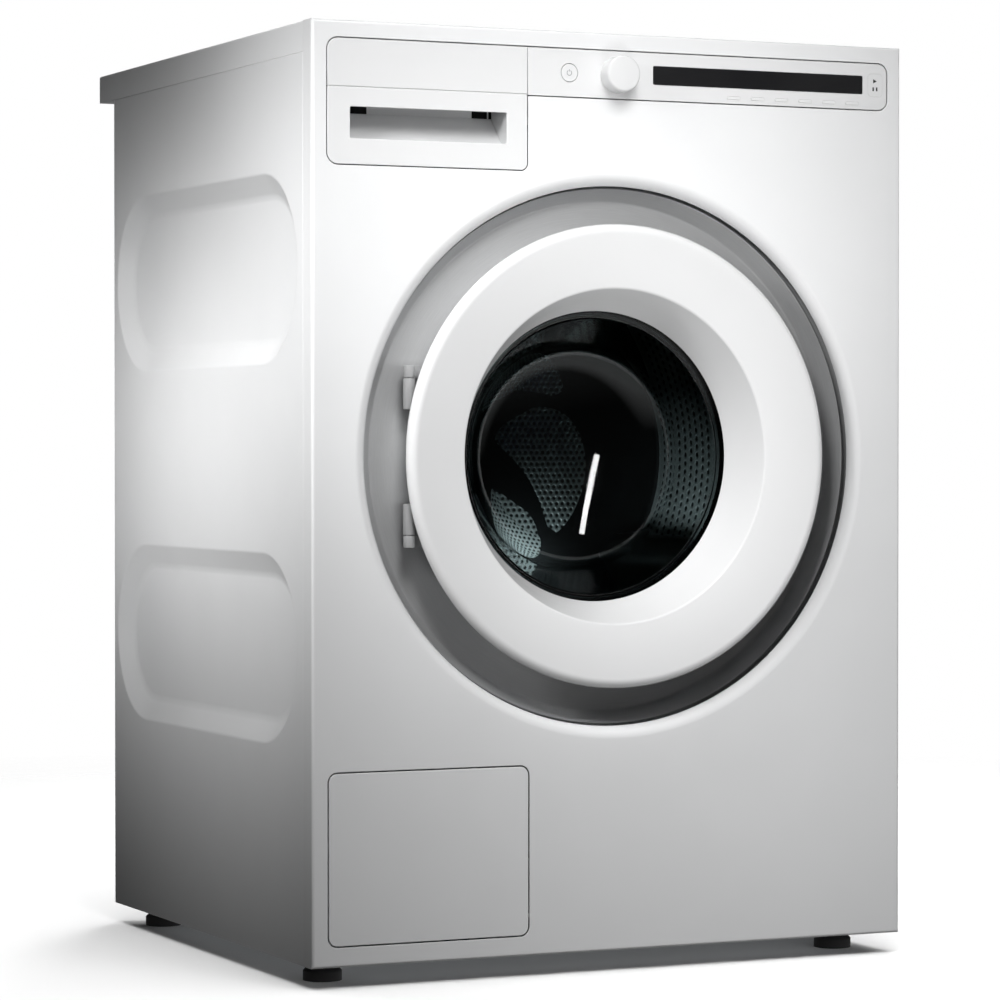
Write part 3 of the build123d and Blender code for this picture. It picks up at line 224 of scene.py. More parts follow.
# finishes
finishes = {}
slotNames = {name: [slot.material.name for slot in node.material_slots]
             for name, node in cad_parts.items()}
for material in bpy.data.materials:
    material.name = "cad_" + material.name


def addNode(tree, kind, *sources, **values):
    made = tree.nodes.new(kind)
    for key, value in values.items():
        setattr(made, key, value)
    for i, source in enumerate(sources):
        if isinstance(source, bpy.types.NodeSocket):
            tree.links.new(source, made.inputs[i])
        else:
            made.inputs[i].default_value = source
    return made


def calc(tree, operation, *sources):
    return addNode(tree, "ShaderNodeMath", *sources, operation=operation).outputs[0]


def distance(tree, first, second):
    squares = [calc(tree, "MULTIPLY", side, side) for side in (first, second)]
    return calc(tree, "SQRT", calc(tree, "ADD", *squares))


def spread(tree, source, low, high, fromLow=0.3, fromHigh=0.7):
    return addNode(tree, "ShaderNodeMapRange", source, fromLow, fromHigh, low, high).outputs[0]


def tint(tree, factor, first, second):
    made = tree.nodes.new("ShaderNodeMix")
    made.data_type = "RGBA"
    tree.links.new(factor, made.inputs["Factor"])
    for name, colour in (("A", first), ("B", second)):
        socket = [s for s in made.inputs if s.name == name and s.type == "RGBA"][0]
        if isinstance(colour, bpy.types.NodeSocket):
            tree.links.new(colour, socket)
        else:
            socket.default_value = (*colour, 1.0)
    return [s for s in made.outputs if s.type == "RGBA"][0]


def noise(tree, vector, scale, detail):
    made = tree.nodes.new("ShaderNodeTexNoise")
    tree.links.new(vector, made.inputs["Vector"])
    made.inputs["Scale"].default_value = scale
    made.inputs["Detail"].default_value = detail
    made.inputs["Roughness"].default_value = 0.5
    return made.outputs["Fac"]


def bump(tree, height, strength, depth):
    made = tree.nodes.new("ShaderNodeBump")
    made.inputs["Strength"].default_value = strength
    made.inputs["Distance"].default_value = depth
    tree.links.new(height, made.inputs["Height"])
    return made.outputs["Normal"]


def freshFinish(name, **sockets):
    material = bpy.data.materials.new(name)
    material.use_nodes = True
    tree = material.node_tree
    shader = tree.nodes["Principled BSDF"]
    for socket, value in sockets.items():
        shader.inputs[socket.replace("_", " ")].default_value = value
    finishes[name] = material
    place = tree.nodes.new("ShaderNodeTexCoord").outputs["Object"]
    return tree, shader, place


def roughen(tree, shader, fine, broad, rough):
    both = calc(tree, "ADD", fine, broad)
    tree.links.new(spread(tree, both, *rough, 0.7, 1.3), shader.inputs["Roughness"])


def plainFinish(name, tone, shade, rough, grain, depth, cloud=9.0, stretch=(1, 1, 1), **sockets):
    tree, shader, place = freshFinish(name, **sockets)
    turned = addNode(tree, "ShaderNodeMapping", place)
    turned.inputs["Scale"].default_value = stretch
    fine = noise(tree, turned.outputs[0], grain, 3.0)
    broad = noise(tree, place, cloud, 2.0)
    tree.links.new(tint(tree, spread(tree, broad, 0.0, 1.0), tone, shade), shader.inputs["Base Color"])
    roughen(tree, shader, fine, broad, rough)
    tree.links.new(bump(tree, fine, 0.25, depth), shader.inputs["Normal"])
    return tree, shader, place


def polarPlace(tree, place):
    centred = addNode(tree, "ShaderNodeMapping", place)
    centred.inputs["Location"].default_value = (0.0, 0.0, -machine["axisZ"] * mm)
    x, depth, z = addNode(tree, "ShaderNodeSeparateXYZ", centred.outputs[0]).outputs
    return distance(tree, x, z), calc(tree, "ARCTAN2", z, x), depth, x, z


brushing = {"lines": 4200.0, "around": 9.0, "cloud": 14.0, "strength": 0.05, "depth": 0.00002}


def brushedFinish(name, tone, shade, rough, **sockets):
    tree, shader, place = freshFinish(name, **sockets)
    radius, angle, depth = polarPlace(tree, place)[:3]
    streak = addNode(tree, "ShaderNodeCombineXYZ", calc(tree, "MULTIPLY", radius, brushing["lines"]),
                     calc(tree, "MULTIPLY", angle, brushing["around"]),
                     calc(tree, "MULTIPLY", depth, brushing["lines"])).outputs[0]
    fine = noise(tree, streak, 1.0, 2.0)
    broad = noise(tree, place, brushing["cloud"], 2.0)
    tree.links.new(tint(tree, spread(tree, fine, 0.0, 1.0), tone, shade), shader.inputs["Base Color"])
    roughen(tree, shader, fine, broad, rough)
    tree.links.new(bump(tree, fine, brushing["strength"], brushing["depth"]), shader.inputs["Normal"])


# the drum's holes, in metres: rows round the wall and drop-shaped fields on the rear; the rear outside the
# fields is painted near-black as painted shade
perforation = {"wall": {"radius": 0.2412, "around": 176.0, "pitch": 0.0125, "hole": 0.0026,
                        "span": (-0.160, 0.086)},
               "rear": {"wide": 0.0058 * 1.1, "tall": 0.0058, "hole": 0.0018, "from": 0.096},
               "field": {"count": 6, "turn": -3.0, "radius": 0.113, "long": 0.0615, "wide": 0.041,
                         "taper": 0.5, "lean": 0.026},
               "rim": 1.5, "press": (0.6, 0.0012), "grain": 420.0, "rough": (0.42, 0.5), "metal": 0.7}


def dotField(tree, first, second, wide, tall):
    level = calc(tree, "FLOOR", second)
    shift = calc(tree, "MULTIPLY", calc(tree, "MODULO", calc(tree, "ABSOLUTE", level), 2.0), 0.5)
    across = calc(tree, "SUBTRACT", calc(tree, "FRACT", calc(tree, "ADD", first, shift)), 0.5)
    up = calc(tree, "SUBTRACT", calc(tree, "SUBTRACT", second, level), 0.5)
    return distance(tree, calc(tree, "MULTIPLY", across, wide), calc(tree, "MULTIPLY", up, tall))


def dropField(tree, radius, angle):
    field = perforation["field"]
    sector = math.tau / field["count"]
    turned = calc(tree, "SUBTRACT", angle, math.radians(field["turn"]) - sector / 2 - math.tau)
    off = calc(tree, "SUBTRACT", calc(tree, "MODULO", turned, sector), sector / 2)
    along = calc(tree, "DIVIDE", calc(tree, "MULTIPLY", off, field["radius"]), field["long"])
    taper = calc(tree, "ADD", calc(tree, "MULTIPLY", along, field["taper"]), 1.0)
    middle = calc(tree, "SUBTRACT", field["radius"], calc(tree, "MULTIPLY", along, field["lean"]))
    across = calc(tree, "DIVIDE", calc(tree, "SUBTRACT", radius, middle),
                  calc(tree, "MULTIPLY", taper, field["wide"]))
    return distance(tree, along, across)


def perforatedFinish(name, tone, shade, hole, plainShade):
    tree, shader, place = freshFinish(name)
    radius, angle, depth, x, z = polarPlace(tree, place)
    wall, rear = perforation["wall"], perforation["rear"]
    wallDots = dotField(tree, calc(tree, "MULTIPLY", angle, wall["around"] / math.tau),
                        calc(tree, "DIVIDE", depth, wall["pitch"]),
                        math.tau * wall["radius"] / wall["around"], wall["pitch"])
    rearDots = dotField(tree, calc(tree, "DIVIDE", x, rear["wide"]), calc(tree, "DIVIDE", z, rear["tall"]),
                        rear["wide"], rear["tall"])
    near, far = wall["span"]
    onWall = calc(tree, "MULTIPLY", calc(tree, "GREATER_THAN", depth, near),
                  calc(tree, "LESS_THAN", depth, far))
    onRear = calc(tree, "GREATER_THAN", depth, rear["from"])
    outside = calc(tree, "GREATER_THAN", dropField(tree, radius, angle), 1.0)
    # painted shade: the rear outside the drop fields takes the near-black plain colour
    shadedBare = calc(tree, "MULTIPLY", outside, onRear)
    inField = calc(tree, "MULTIPLY", calc(tree, "SUBTRACT", 1.0, outside), onRear)
    holes, rims = [], []
    for dots, zone, size in ((wallDots, onWall, wall["hole"]), (rearDots, inField, rear["hole"])):
        edge = spread(tree, dots, 1.0, 0.0, size, size * perforation["rim"])
        holes.append(calc(tree, "MULTIPLY", calc(tree, "LESS_THAN", dots, size), zone))
        rims.append(calc(tree, "MULTIPLY", edge, zone))
    solid = calc(tree, "SUBTRACT", 1.0, calc(tree, "ADD", *holes))
    height = calc(tree, "SUBTRACT", 1.0, calc(tree, "ADD", *rims))
    fine = noise(tree, place, perforation["grain"], 2.0)
    metal = tint(tree, spread(tree, fine, 0.0, 1.0), tone, shade)
    tree.links.new(tint(tree, solid, hole, tint(tree, shadedBare, metal, plainShade)), shader.inputs["Base Color"])
    tree.links.new(spread(tree, fine, *perforation["rough"]), shader.inputs["Roughness"])
    tree.links.new(calc(tree, "MULTIPLY", solid, perforation["metal"]), shader.inputs["Metallic"])
    tree.links.new(bump(tree, height, *perforation["press"]), shader.inputs["Normal"])


whites = {"sheet": ((0.86, 0.865, 0.87), (0.835, 0.84, 0.845)),
          "gloss": ((0.8, 0.803, 0.807), (0.78, 0.783, 0.787)),
          "door": ((0.755, 0.758, 0.762), (0.735, 0.738, 0.742))}
lacquer = {"Coat_Weight": 0.2, "Coat_Roughness": 0.08}
plainFinish("white_paint", *whites["sheet"], (0.30, 0.38), 520.0, 0.00006,
            Coat_Weight=0.15, Coat_Roughness=0.12)
plainFinish("white_laminate", *whites["sheet"], (0.34, 0.44), 900.0, 0.00005)
plainFinish("white_gloss", *whites["gloss"], (0.20, 0.27), 340.0, 0.00003, **lacquer)
plainFinish("key_white", *whites["gloss"], (0.3, 0.36), 600.0, 0.00003)
# painted shade: white_gloss darkened for the door, toned down for how brightly the lamps fall on it
plainFinish("door_white", *whites["door"], (0.20, 0.27), 340.0, 0.00003, **lacquer)
plainFinish("galvanised", (0.58, 0.6, 0.62), (0.46, 0.48, 0.5), (0.36, 0.5), 160.0, 0.00006,
            cloud=45.0, Metallic=0.6)
plainFinish("seal_rubber", (0.33, 0.34, 0.35), (0.27, 0.28, 0.29), (0.55, 0.68), 700.0, 0.0001)
plainFinish("black_rubber", (0.022, 0.022, 0.023), (0.034, 0.034, 0.035), (0.55, 0.72), 600.0, 0.00012)
plainFinish("black_plastic", (0.018, 0.018, 0.019), (0.028, 0.028, 0.029), (0.4, 0.52), 800.0, 0.00006)
plainFinish("grey_plastic", (0.42, 0.43, 0.44), (0.36, 0.37, 0.38), (0.4, 0.5), 700.0, 0.00006)
plainFinish("tub_plastic", (0.5, 0.51, 0.52), (0.42, 0.43, 0.44), (0.5, 0.62), 420.0, 0.0002, cloud=24.0)
plainFinish("aluminium", (0.72, 0.73, 0.74), (0.6, 0.61, 0.62), (0.34, 0.48), 240.0, 0.0002, Metallic=1.0)
plainFinish("weight_iron", (0.16, 0.16, 0.165), (0.1, 0.1, 0.105), (0.6, 0.78), 140.0, 0.0006, cloud=30.0)
plainFinish("motor_paint", (0.11, 0.115, 0.12), (0.08, 0.083, 0.087), (0.42, 0.52), 300.0, 0.0001)
plainFinish("rod_chrome", (0.74, 0.75, 0.77), (0.66, 0.67, 0.69), (0.12, 0.2), 900.0, 0.00002,
            stretch=(1, 1, 0.03), Metallic=1.0)
plainFinish("display_black", (0.012, 0.012, 0.013), (0.02, 0.02, 0.021), (0.12, 0.18), 500.0, 0.00001,
            Coat_Weight=0.3, Coat_Roughness=0.05)
plainFinish("frit_black", (0.006, 0.006, 0.007), (0.01, 0.01, 0.011), (0.25, 0.35), 500.0, 0.00001)
# painted shade: near-black for the shaded gaps behind the drawer and for the grip's slots
plainFinish("slit_black", (0.004, 0.004, 0.004), (0.008, 0.008, 0.008), (0.6, 0.7), 500.0, 0.00002,
            Specular_IOR_Level=0.1)
plainFinish("sign_black", (0.012, 0.012, 0.012), (0.018, 0.018, 0.018), (0.5, 0.6), 700.0, 0.00001,
            Specular_IOR_Level=0.2)
plainFinish("sign_grey", (0.3, 0.31, 0.32), (0.26, 0.27, 0.28), (0.4, 0.5), 700.0, 0.00001)
# painted shade: a light grey standing for the shade inside the drawer's finger pocket
plainFinish("pocket_grey", (0.58, 0.583, 0.587), (0.54, 0.543, 0.547), (0.34, 0.42), 500.0, 0.00004)
plainFinish("lifter_grey", (0.06, 0.066, 0.068), (0.05, 0.055, 0.057), (0.34, 0.44), 500.0, 0.00004)
plainFinish("hinge_satin", (0.5, 0.503, 0.507), (0.45, 0.453, 0.457), (0.36, 0.46), 600.0, 0.00003,
            Metallic=0.35)
plainFinish("dark_glass", (0.37, 0.465, 0.47), (0.34, 0.43, 0.435), (0.0, 0.03), 40.0, 0.00001,
            Transmission_Weight=1.0, IOR=1.5)
brushedFinish("steel", (0.66, 0.665, 0.67), (0.6, 0.605, 0.61), (0.38, 0.46), Metallic=0.5)
perforatedFinish("perforated_steel", (0.56, 0.6, 0.605), (0.48, 0.52, 0.525),
                 hole=(0.002, 0.003, 0.003), plainShade=(0.012, 0.013, 0.014))

for name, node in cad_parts.items():  # each solid takes the finish of its slot
    for slot, finish in zip(node.material_slots, slotNames[name]):
        slot.material = finishes[finish.split(".")[0]]
# painted shade: the dispenser housing goes black so the gaps round the drawer read dark
for name, finish in (("dispenser_housing", "slit_black"), ("drum_lifters", "lifter_grey")):
    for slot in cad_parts[name].material_slots:
        slot.material = finishes[finish]
print("finishes:", len(finishes))

# front panel with its rolled door lip, and the outlines of what sits in it
frontPanel = {"return": 20.4, "round": 3.0, "sheet": 1.2, "skin": 0.3, "lipFlat": 262.0, "lipCorner": 247.31,
              "lipEnd": (245.0, 9.0), "lipCurl": (246.1, 9.4), "lipRound": 11.9,
              "gap": 1.0, "flapGap": 1.3, "margin": 1.0}
cuts = {"left": -282.7, "right": 282.5, "drawerRight": -89.6, "stripLeft": -89.0, "drawerFoot": 724.0,
        "stripFoot": 791.2, "top": 834.1, "drawerCorner": 10.0, "drawerLow": 6.0, "stripCorner": 9.5,
        "flapWide": (-281.6, -88.4), "flapTall": (37.8, 189.4), "flapCorner": 8.0}
stripOutline = boxCorners((cuts["stripLeft"], cuts["right"]), (cuts["stripFoot"], cuts["top"]),
                          (0, cuts["stripCorner"], cuts["stripCorner"], 0))
flapOutline = boxCorners(cuts["flapWide"], cuts["flapTall"], [cuts["flapCorner"]] * 4)


def drawerHole(by):
    left, inner, right = cuts["left"] - by, cuts["drawerRight"] + by, cuts["right"] + by
    foot, sill, top = cuts["drawerFoot"] - by, cuts["stripFoot"] - by, cuts["top"] + by
    wide, low, small = (cuts[name] + by for name in ("drawerCorner", "drawerLow", "stripCorner"))
    return [(left, foot, wide), (inner, foot, low), (inner, sill, 0), (right, sill, small),
            (right, top, small), (left, top, wide)]


work = bmesh.new()
sides = (-machine["halfWidth"], machine["halfWidth"])
margin = frontPanel["margin"]
block(work, sides, (0, frontPanel["return"]), (machine["bottom"], machine["top"]))
openFront(work, frontPanel["round"], 5)
holeRim(work, drawerHole(frontPanel["gap"] + margin), margin, frontPanel["sheet"])
holeRim(work, grown(flapOutline, frontPanel["flapGap"] + margin), margin, frontPanel["sheet"])
part = bmesh.new()
turnProfile(part, [(frontPanel["lipFlat"], 0, 0), (frontPanel["lipCorner"], 0, frontPanel["lipRound"]),
                   (*frontPanel["lipEnd"], 0), (*frontPanel["lipCurl"], 0)], segments=10)
addPart(work, part)
fillFront(work)
keepPiece(work, "frontSkin", "cabinet", "white_paint", ["front_panel"], flats=True, skin=frontPanel["skin"])
print("front panel")

# side panels with two pressed recesses each
sidePanel = {"depth": (20.7, 528.5), "tall": (19.0, 823.0), "flange": 18.0, "edge": 1.2, "skin": 0.3,
             "middle": 276.5, "length": 482.0, "height": 171.0, "levels": (295.0, 636.3), "press": 12.0,
             "flank": 20.0, "lip": 1.4, "floor": 4.0, "margin": 4.0, "ease": 1.5}


def sideSkin(name, sign, node):
    work = bmesh.new()  # drawn flat as a front plate, then stood up as the side
    block(work, sidePanel["depth"], (0, sidePanel["flange"]), sidePanel["tall"])
    openFront(work, sidePanel["edge"], 3)
    half = sidePanel["height"] / 2 + sidePanel["margin"]
    reach = sidePanel["length"] / 2 + sidePanel["margin"]
    wide = (sidePanel["middle"] - reach, sidePanel["middle"] + reach)
    for level in sidePanel["levels"]:
        outline = boxCorners(wide, (level - half, level + half), [half - sidePanel["ease"]] * 4)
        press = outlineFace(work, outline, segments=28)
        inset(work, press, sidePanel["margin"])
        lip = list(press[0].edges)
        inset(work, press, sidePanel["flank"])
        bmesh.ops.translate(work, verts=press[0].verts[:], vec=(0, sidePanel["press"] * mm, 0))
        floor = list(press[0].edges)
        softEdge(work, lip, sidePanel["lip"], 5)
        softEdge(work, floor, sidePanel["floor"], 6)
        bmesh.ops.triangulate(work, faces=[f for f in work.faces if len(f.verts) > 30])
    fillFront(work)
    # flat x becomes depth, and flat depth goes inward
    stand = Matrix(((0, -sign, 0, 0), (1, 0, 0, 0), (0, 0, 1, 0), (0, 0, 0, 1)))
    bmesh.ops.translate(work, verts=work.verts, vec=(0, -frontY, 0))
    bmesh.ops.transform(work, matrix=stand, verts=work.verts)
    bmesh.ops.translate(work, verts=work.verts, vec=(sign * machine["halfWidth"] * mm, frontY, 0))
    keepPiece(work, name, "cabinet", "white_paint", [node], flats=True, skin=sidePanel["skin"])


sideSkin("leftSkin", -1, "left_side_panel")
sideSkin("rightSkin", 1, "right_side_panel")
print("side panels")

# worktop with a soft top and rear edge
worktop = {"depth": (20.7, 573.5), "tall": (823.0, 850.0), "edge": 2.0}
work = bmesh.new()
block(work, sides, worktop["depth"], worktop["tall"])
topZ = worktop["tall"][1] * mm
soft = [e for e in work.edges if atDepth(e, worktop["depth"][1])
        or all(abs(v.co.z - topZ) < tolerance["level"] for v in e.verts)]
softEdge(work, soft, worktop["edge"], 4)
keepPiece(work, "topBoard", "cabinet", "white_laminate", ["worktop"], flats=True)
print("worktop")

# steel ring behind the door, with the latch's slot
steelRing = {"profile": [(262.0, 1.6, 0), (262.0, 22.0, 1.5), (248.0, 22.0, 1.0), (243.0, 14.0, 0.8),
                         (232.0, 30.0, 3.0), (165.0, 30.0, 3.0), (165.0, 62.0, 0)],
             "sheet": 0.6, "slotX": (179.5, 192.5), "slotZ": 12.0}
work = bmesh.new()
turnProfile(work, steelRing["profile"], steps=200)
lowX, highX = steelRing["slotX"]
lowZ, highZ = machine["axisZ"] - steelRing["slotZ"], machine["axisZ"] + steelRing["slotZ"]
for at, along in ((lowX, (1, 0, 0)), (highX, (1, 0, 0)), (lowZ, (0, 0, 1)), (highZ, (0, 0, 1))):
    everything = work.verts[:] + work.edges[:] + work.faces[:]
    bmesh.ops.bisect_plane(work, geom=everything, plane_co=Vector(along) * at * mm, plane_no=along)
middles = {f: f.calc_center_median() / mm for f in work.faces}
slot = [f for f, middle in middles.items() if lowX < middle.x < highX and lowZ < middle.z < highZ]
bmesh.ops.delete(work, geom=slot, context="FACES")
keepPiece(work, "sealRing", "cabinet", "steel", ["steel_seal_ring"], skin=steelRing["sheet"], inner=True)
print("steel ring")

# door: outer frame, inner frame, hinges, seal and glass bowl
doorFrame = {"outer": [(196.0, 4.0, 0), (203.5, -1.2, 2.0), (210.0, -3.4, 1.5), (210.0, -13.6, 8.0),
                       (152.0, -2.0, 3.0), (142.0, 21.7, 16.0), (133.0, 42.0, 0)],
             "inner": [(136.2, 43.0, 0), (146.0, 20.5, 8.0), (155.0, 1.4, 3.0), (206.5, -9.0, 4.0),
                       (206.5, -4.4, 0), (200.0, -1.0, 0), (194.0, 4.0, 0)]}
turnedPiece(doorFrame["outer"] + doorFrame["inner"], "doorRim", "door", "door_white", ["door_frame"],
            closed=True, steps=200, segments=8)
doorBack = {"outer": [(139.0, 51.3, 1.0), (159.0, 51.3, 3.0), (159.0, 22.0, 3.0), (190.0, 22.0, 2.0),
                      (196.0, 13.0, 2.0), (196.0, 4.3, 0)],
            "inner": [(193.0, 4.3, 0), (193.0, 12.0, 0), (188.0, 19.0, 0), (156.0, 19.0, 0), (156.0, 48.3, 0),
                      (139.0, 48.3, 0)]}
turnedPiece(doorBack["outer"] + doorBack["inner"], "doorLiner", "door", "door_white", ["door_inner_frame"],
            closed=True, segments=4)
hinge = {"lug": (41.8, 69.4), "arm": (70.0, 80.7), "edge": 0.8,
         "foot": [(-206.6, 1.4, 4.4), (-197.4, 1.4, 4.4), (-197.4, 10.0, 2.0), (-189.0, 27.5, 1.0),
                  (-186.0, 27.5, 0), (-186.0, 30.0, 0), (-197.0, 30.0, 0), (-206.6, 10.0, 2.0)],
         "leaf": [(-206.6, 1.4, 4.4), (-197.4, 1.4, 4.4), (-197.4, 10.0, 2.0), (-192.0, 22.0, 1.0),
                  (-166.5, 22.0, 0), (-166.5, 24.5, 0), (-197.0, 24.5, 1.5), (-206.6, 10.0, 2.0)]}
for name, body, span, line, node in (("hingeLugs", "cabinet", "lug", "foot", "hinge_bracket"),
                                     ("hingeLeaves", "door", "arm", "leaf", "door_hinge_arms")):
    work = bmesh.new()
    for side in (-1, 1):
        low, high = sorted(machine["axisZ"] + side * z for z in hinge[span])
        post(work, hinge[line], low, high, hinge["edge"])
    keepPiece(work, name, body, "hinge_satin", [node])
lipSeal = {"profile": [(167.0, 22.0, 0), (178.0, 22.0, 0), (175.5, 29.7, 1.2), (169.5, 29.7, 1.2)]}
turnedPiece(lipSeal["profile"], "doorLipSeal", "door", "seal_rubber", ["door_seal"], closed=True, segments=3)
glassBowl = {"front": [(148.0, 43.5, 0), (128.0, 43.5, 9.0), (98.0, 108.0, 31.5), (0.0, 112.5, 0)],
             "back": [(0.0, 117.0, 0), (101.0, 112.4, 36.0), (131.0, 48.0, 4.5), (148.0, 48.0, 0)]}
turnedPiece(glassBowl["front"] + glassBowl["back"], "glassBowl", "door", "dark_glass", ["door_glass"],
            closed=True, segments=10)
fritBand = {"profile": [(149.0, 48.25, 0), (131.6, 48.25, 0), (131.6, 48.8, 0), (149.0, 48.8, 0)]}
turnedPiece(fritBand["profile"], "glassBand", "door", "frit_black", closed=True, steps=120)
print("door")

# bellows and drum
bellows = {"radii": (167.0, 167.0, 172.0, 167.0, 172.0, 172.0), "span": (31.6, 74.5), "round": 1.5,
           "wall": 1.2}
near, far = bellows["span"]
last = len(bellows["radii"]) - 1
folds = [(radius, near + (far - near) / last * i, bellows["round"] if 0 < i < last else 0)
         for i, radius in enumerate(bellows["radii"])]
turnedPiece(folds, "tubBellows", "cabinet", "seal_rubber", ["tub_bellows"], skin=bellows["wall"], inner=True,
            steps=120, segments=4)
drumShell = {"profile": [(168.0, 94.0, 0), (168.0, 90.0, 1.5), (172.0, 90.0, 1.5), (241.2, 106.0, 6.0),
                         (241.2, 379.0, 8.0), (120.0, 379.0, 0), (0.0, 379.0, 0)], "sheet": 0.6}
turnedPiece(drumShell["profile"], "drumWall", "drum", "perforated_steel", ["drum_shell"],
            skin=drumShell["sheet"], inner=True)
print("drum")

# detergent drawer's front, split by a groove, with a finger pocket below
drawerFace = {"split": 791.8, "groove": 0.8, "skin": 2.5, "edge": 0.5, "margin": 1.0,
              "bridge": {"wide": (-282.2, -90.1), "depth": (0.9, 2.4), "tall": (789.0, 795.0)},
              "ribs": {"wide": ((-274.5, -272.5), (-99.6, -97.6)), "depth": (2.4, 37.2),
                       "tall": (737.0, 800.0)}}
high = drawerFace["split"] + drawerFace["groove"] / 2
low = drawerFace["split"] - drawerFace["groove"] / 2
across = (cuts["left"], cuts["drawerRight"])
grip = {"wide": (-261.3, -109.7), "tall": (746.7, 774.6), "corner": 1.5, "wall": 1.5, "mouth": 1.9,
        "foot": 13.0, "back": 34.0, "rise": 3.2, "ledge": 771.4, "footRound": 5.0,
        "slots": ((-261.2, -231.5), (-129.0, -114.0), (-112.4, -109.8)), "slotDepth": (33.4, 35.0),
        "slotTop": 777.7, "slotEdge": 0.3}
work = bmesh.new()
slab(work, boxCorners(across, (high, cuts["top"]), (0, 0, 0, cuts["drawerCorner"])), 0, drawerFace["skin"],
     drawerFace["edge"])
part = bmesh.new()
lowCorners = (cuts["drawerCorner"], cuts["drawerLow"], 0, 0)
slab(part, boxCorners(across, (cuts["drawerFoot"], low), lowCorners), 0, drawerFace["skin"],
     drawerFace["edge"])
part.normal_update()
flat = [f for f in part.faces if abs(f.normal.y) > 0.99]
bmesh.ops.delete(part, geom=flat, context="FACES_KEEP_BOUNDARY")
gripOutline = boxCorners(grip["wide"], grip["tall"], [grip["corner"]] * 4)
holeRim(part, grown(gripOutline, drawerFace["margin"]), drawerFace["margin"], drawerFace["skin"])
fillFront(part)
fillFront(part, drawerFace["skin"])
addPart(work, part)
bridge, ribs = drawerFace["bridge"], drawerFace["ribs"]
block(work, bridge["wide"], bridge["depth"], bridge["tall"])
for ends in ribs["wide"]:
    block(work, ends, ribs["depth"], ribs["tall"])
keepPiece(work, "drawerFace", "drawer", "white_gloss", ["drawer_front"], flats=True)

work = bmesh.new()  # pocket whose back leans out towards its foot, with a ledge along the top; its grey finish is painted shade for the recess
(left, right), (foot, roof) = grip["wide"], grip["tall"]
wall, rise = grip["wall"], (0, 0, grip["rise"] * mm)
block(work, (left - wall, right + wall), (grip["mouth"], grip["back"] + wall),
      (foot - wall, roof + wall + grip["rise"]))
mouth = [f for f in work.faces if f.normal.y < -0.9]
inset(work, mouth, wall)
upper = [v for v in mouth[0].verts if v.co.z > roof * mm]
bmesh.ops.translate(work, verts=upper, vec=-Vector(rise))
back = pushFace(work, mouth, (0, (grip["back"] - grip["mouth"]) * mm, 0))
bmesh.ops.bisect_plane(work, geom=back + list(back[0].edges) + list(back[0].verts),
                       plane_co=spot(0, 0, grip["ledge"]), plane_no=(0, 0, 1))
inBack = [v for f in back if f.is_valid for v in f.verts]
bmesh.ops.translate(work, verts=[v for v in inBack if abs(v.co.z - roof * mm) < tolerance["ring"]], vec=rise)
backY, footY = spot(0, grip["back"], 0).y, spot(0, grip["foot"], 0).y
for vert in work.verts:
    if abs(vert.co.y - backY) < tolerance["level"] and abs(vert.co.z - foot * mm) < tolerance["ring"]:
        vert.co.y = footY
softEdge(work, [e for e in work.edges if atDepth(e, grip["foot"])], grip["footRound"], 6)
keepPiece(work, "gripPocket", "drawer", "pocket_grey", flats=True)
# black patches on the pocket's back paint the shade of the slots
work = bmesh.new()
for ends in grip["slots"]:
    block(work, ends, grip["slotDepth"], (grip["ledge"], grip["slotTop"]), grip["slotEdge"])
keepPiece(work, "gripSlots", "drawer", "slit_black")
print("drawer")

# service flap with its rims and hinge pins
flapFace = {"skin": 2.5, "edge": 0.6, "rimDepth": (2.3, 12.0), "rimEdge": 0.4, "rimWall": 2.5,
            "pin": 2.0, "pinDepth": 5.5, "pinZ": 54.8, "pinReach": 4.6, "pinRoot": 0.4}
work = bmesh.new()
slab(work, flapOutline, 0, flapFace["skin"], flapFace["edge"])
left, right = cuts["flapWide"]
foot, roof = cuts["flapTall"]
corner, thick = cuts["flapCorner"], flapFace["rimWall"]
for wide, tall in (((left, left + thick), (foot + corner, roof - corner)),
                   ((right - thick, right), (foot + corner, roof - corner)),
                   ((left + corner, right - corner), (roof - thick, roof))):
    block(work, wide, flapFace["rimDepth"], tall, flapFace["rimEdge"])
pinRadius = flapFace["pin"] * mm
pinLong = flapFace["pinReach"] + flapFace["pinRoot"]
for end, sign in ((left, -1), (right, 1)):
    x = end + sign * (flapFace["pinReach"] - flapFace["pinRoot"]) / 2
    place = Matrix.Translation(spot(x, flapFace["pinDepth"], flapFace["pinZ"]))
    bmesh.ops.create_cone(work, cap_ends=True, segments=24, radius1=pinRadius, radius2=pinRadius,
                          depth=pinLong * mm, matrix=place @ Matrix.Rotation(math.radians(90), 4, "Y"))
keepPiece(work, "flapFace", "flap", "white_paint", ["service_flap"], flats=True)
print("flap")

# control strip, display, keys and signs
strip = {"skin": 3.0, "edge": 0.5, "margin": 0.5, "window": ((37.2, 256.5), (805.6, 822.2)),
         "windowCorner": 1.2, "windowGap": 0.3, "power": (-47.7, 812.7), "powerRadius": 8.0, "powerGap": 0.55,
         "powerRim": 1.4, "start": ((262.5, 277.5), (803.7, 824.7)), "startCorner": 3.0, "startGap": 0.06}
keys = {"count": 6, "first": 119.8, "pitch": 25.1, "z": 796.4, "size": (13.5, 2.8), "corner": 0.9,
        "gap": 0.06, "margin": 0.4}
caps = {"pane": (0.05, 1.6, 0.3), "start": (0.0, 4.0, 0.06), "key": (-0.3, 4.0, 0.3)}  # front, back, edge
startOutline = boxCorners(*strip["start"], [strip["startCorner"]] * 4)
windowOutline = boxCorners(*strip["window"], [strip["windowCorner"]] * 4)
keyPlaces = [keys["first"] + keys["pitch"] * i for i in range(keys["count"])]


def keyOutline(x):
    wide, tall = keys["size"]
    return boxCorners((x - wide / 2, x + wide / 2), (keys["z"] - tall / 2, keys["z"] + tall / 2),
                      [keys["corner"]] * 4)


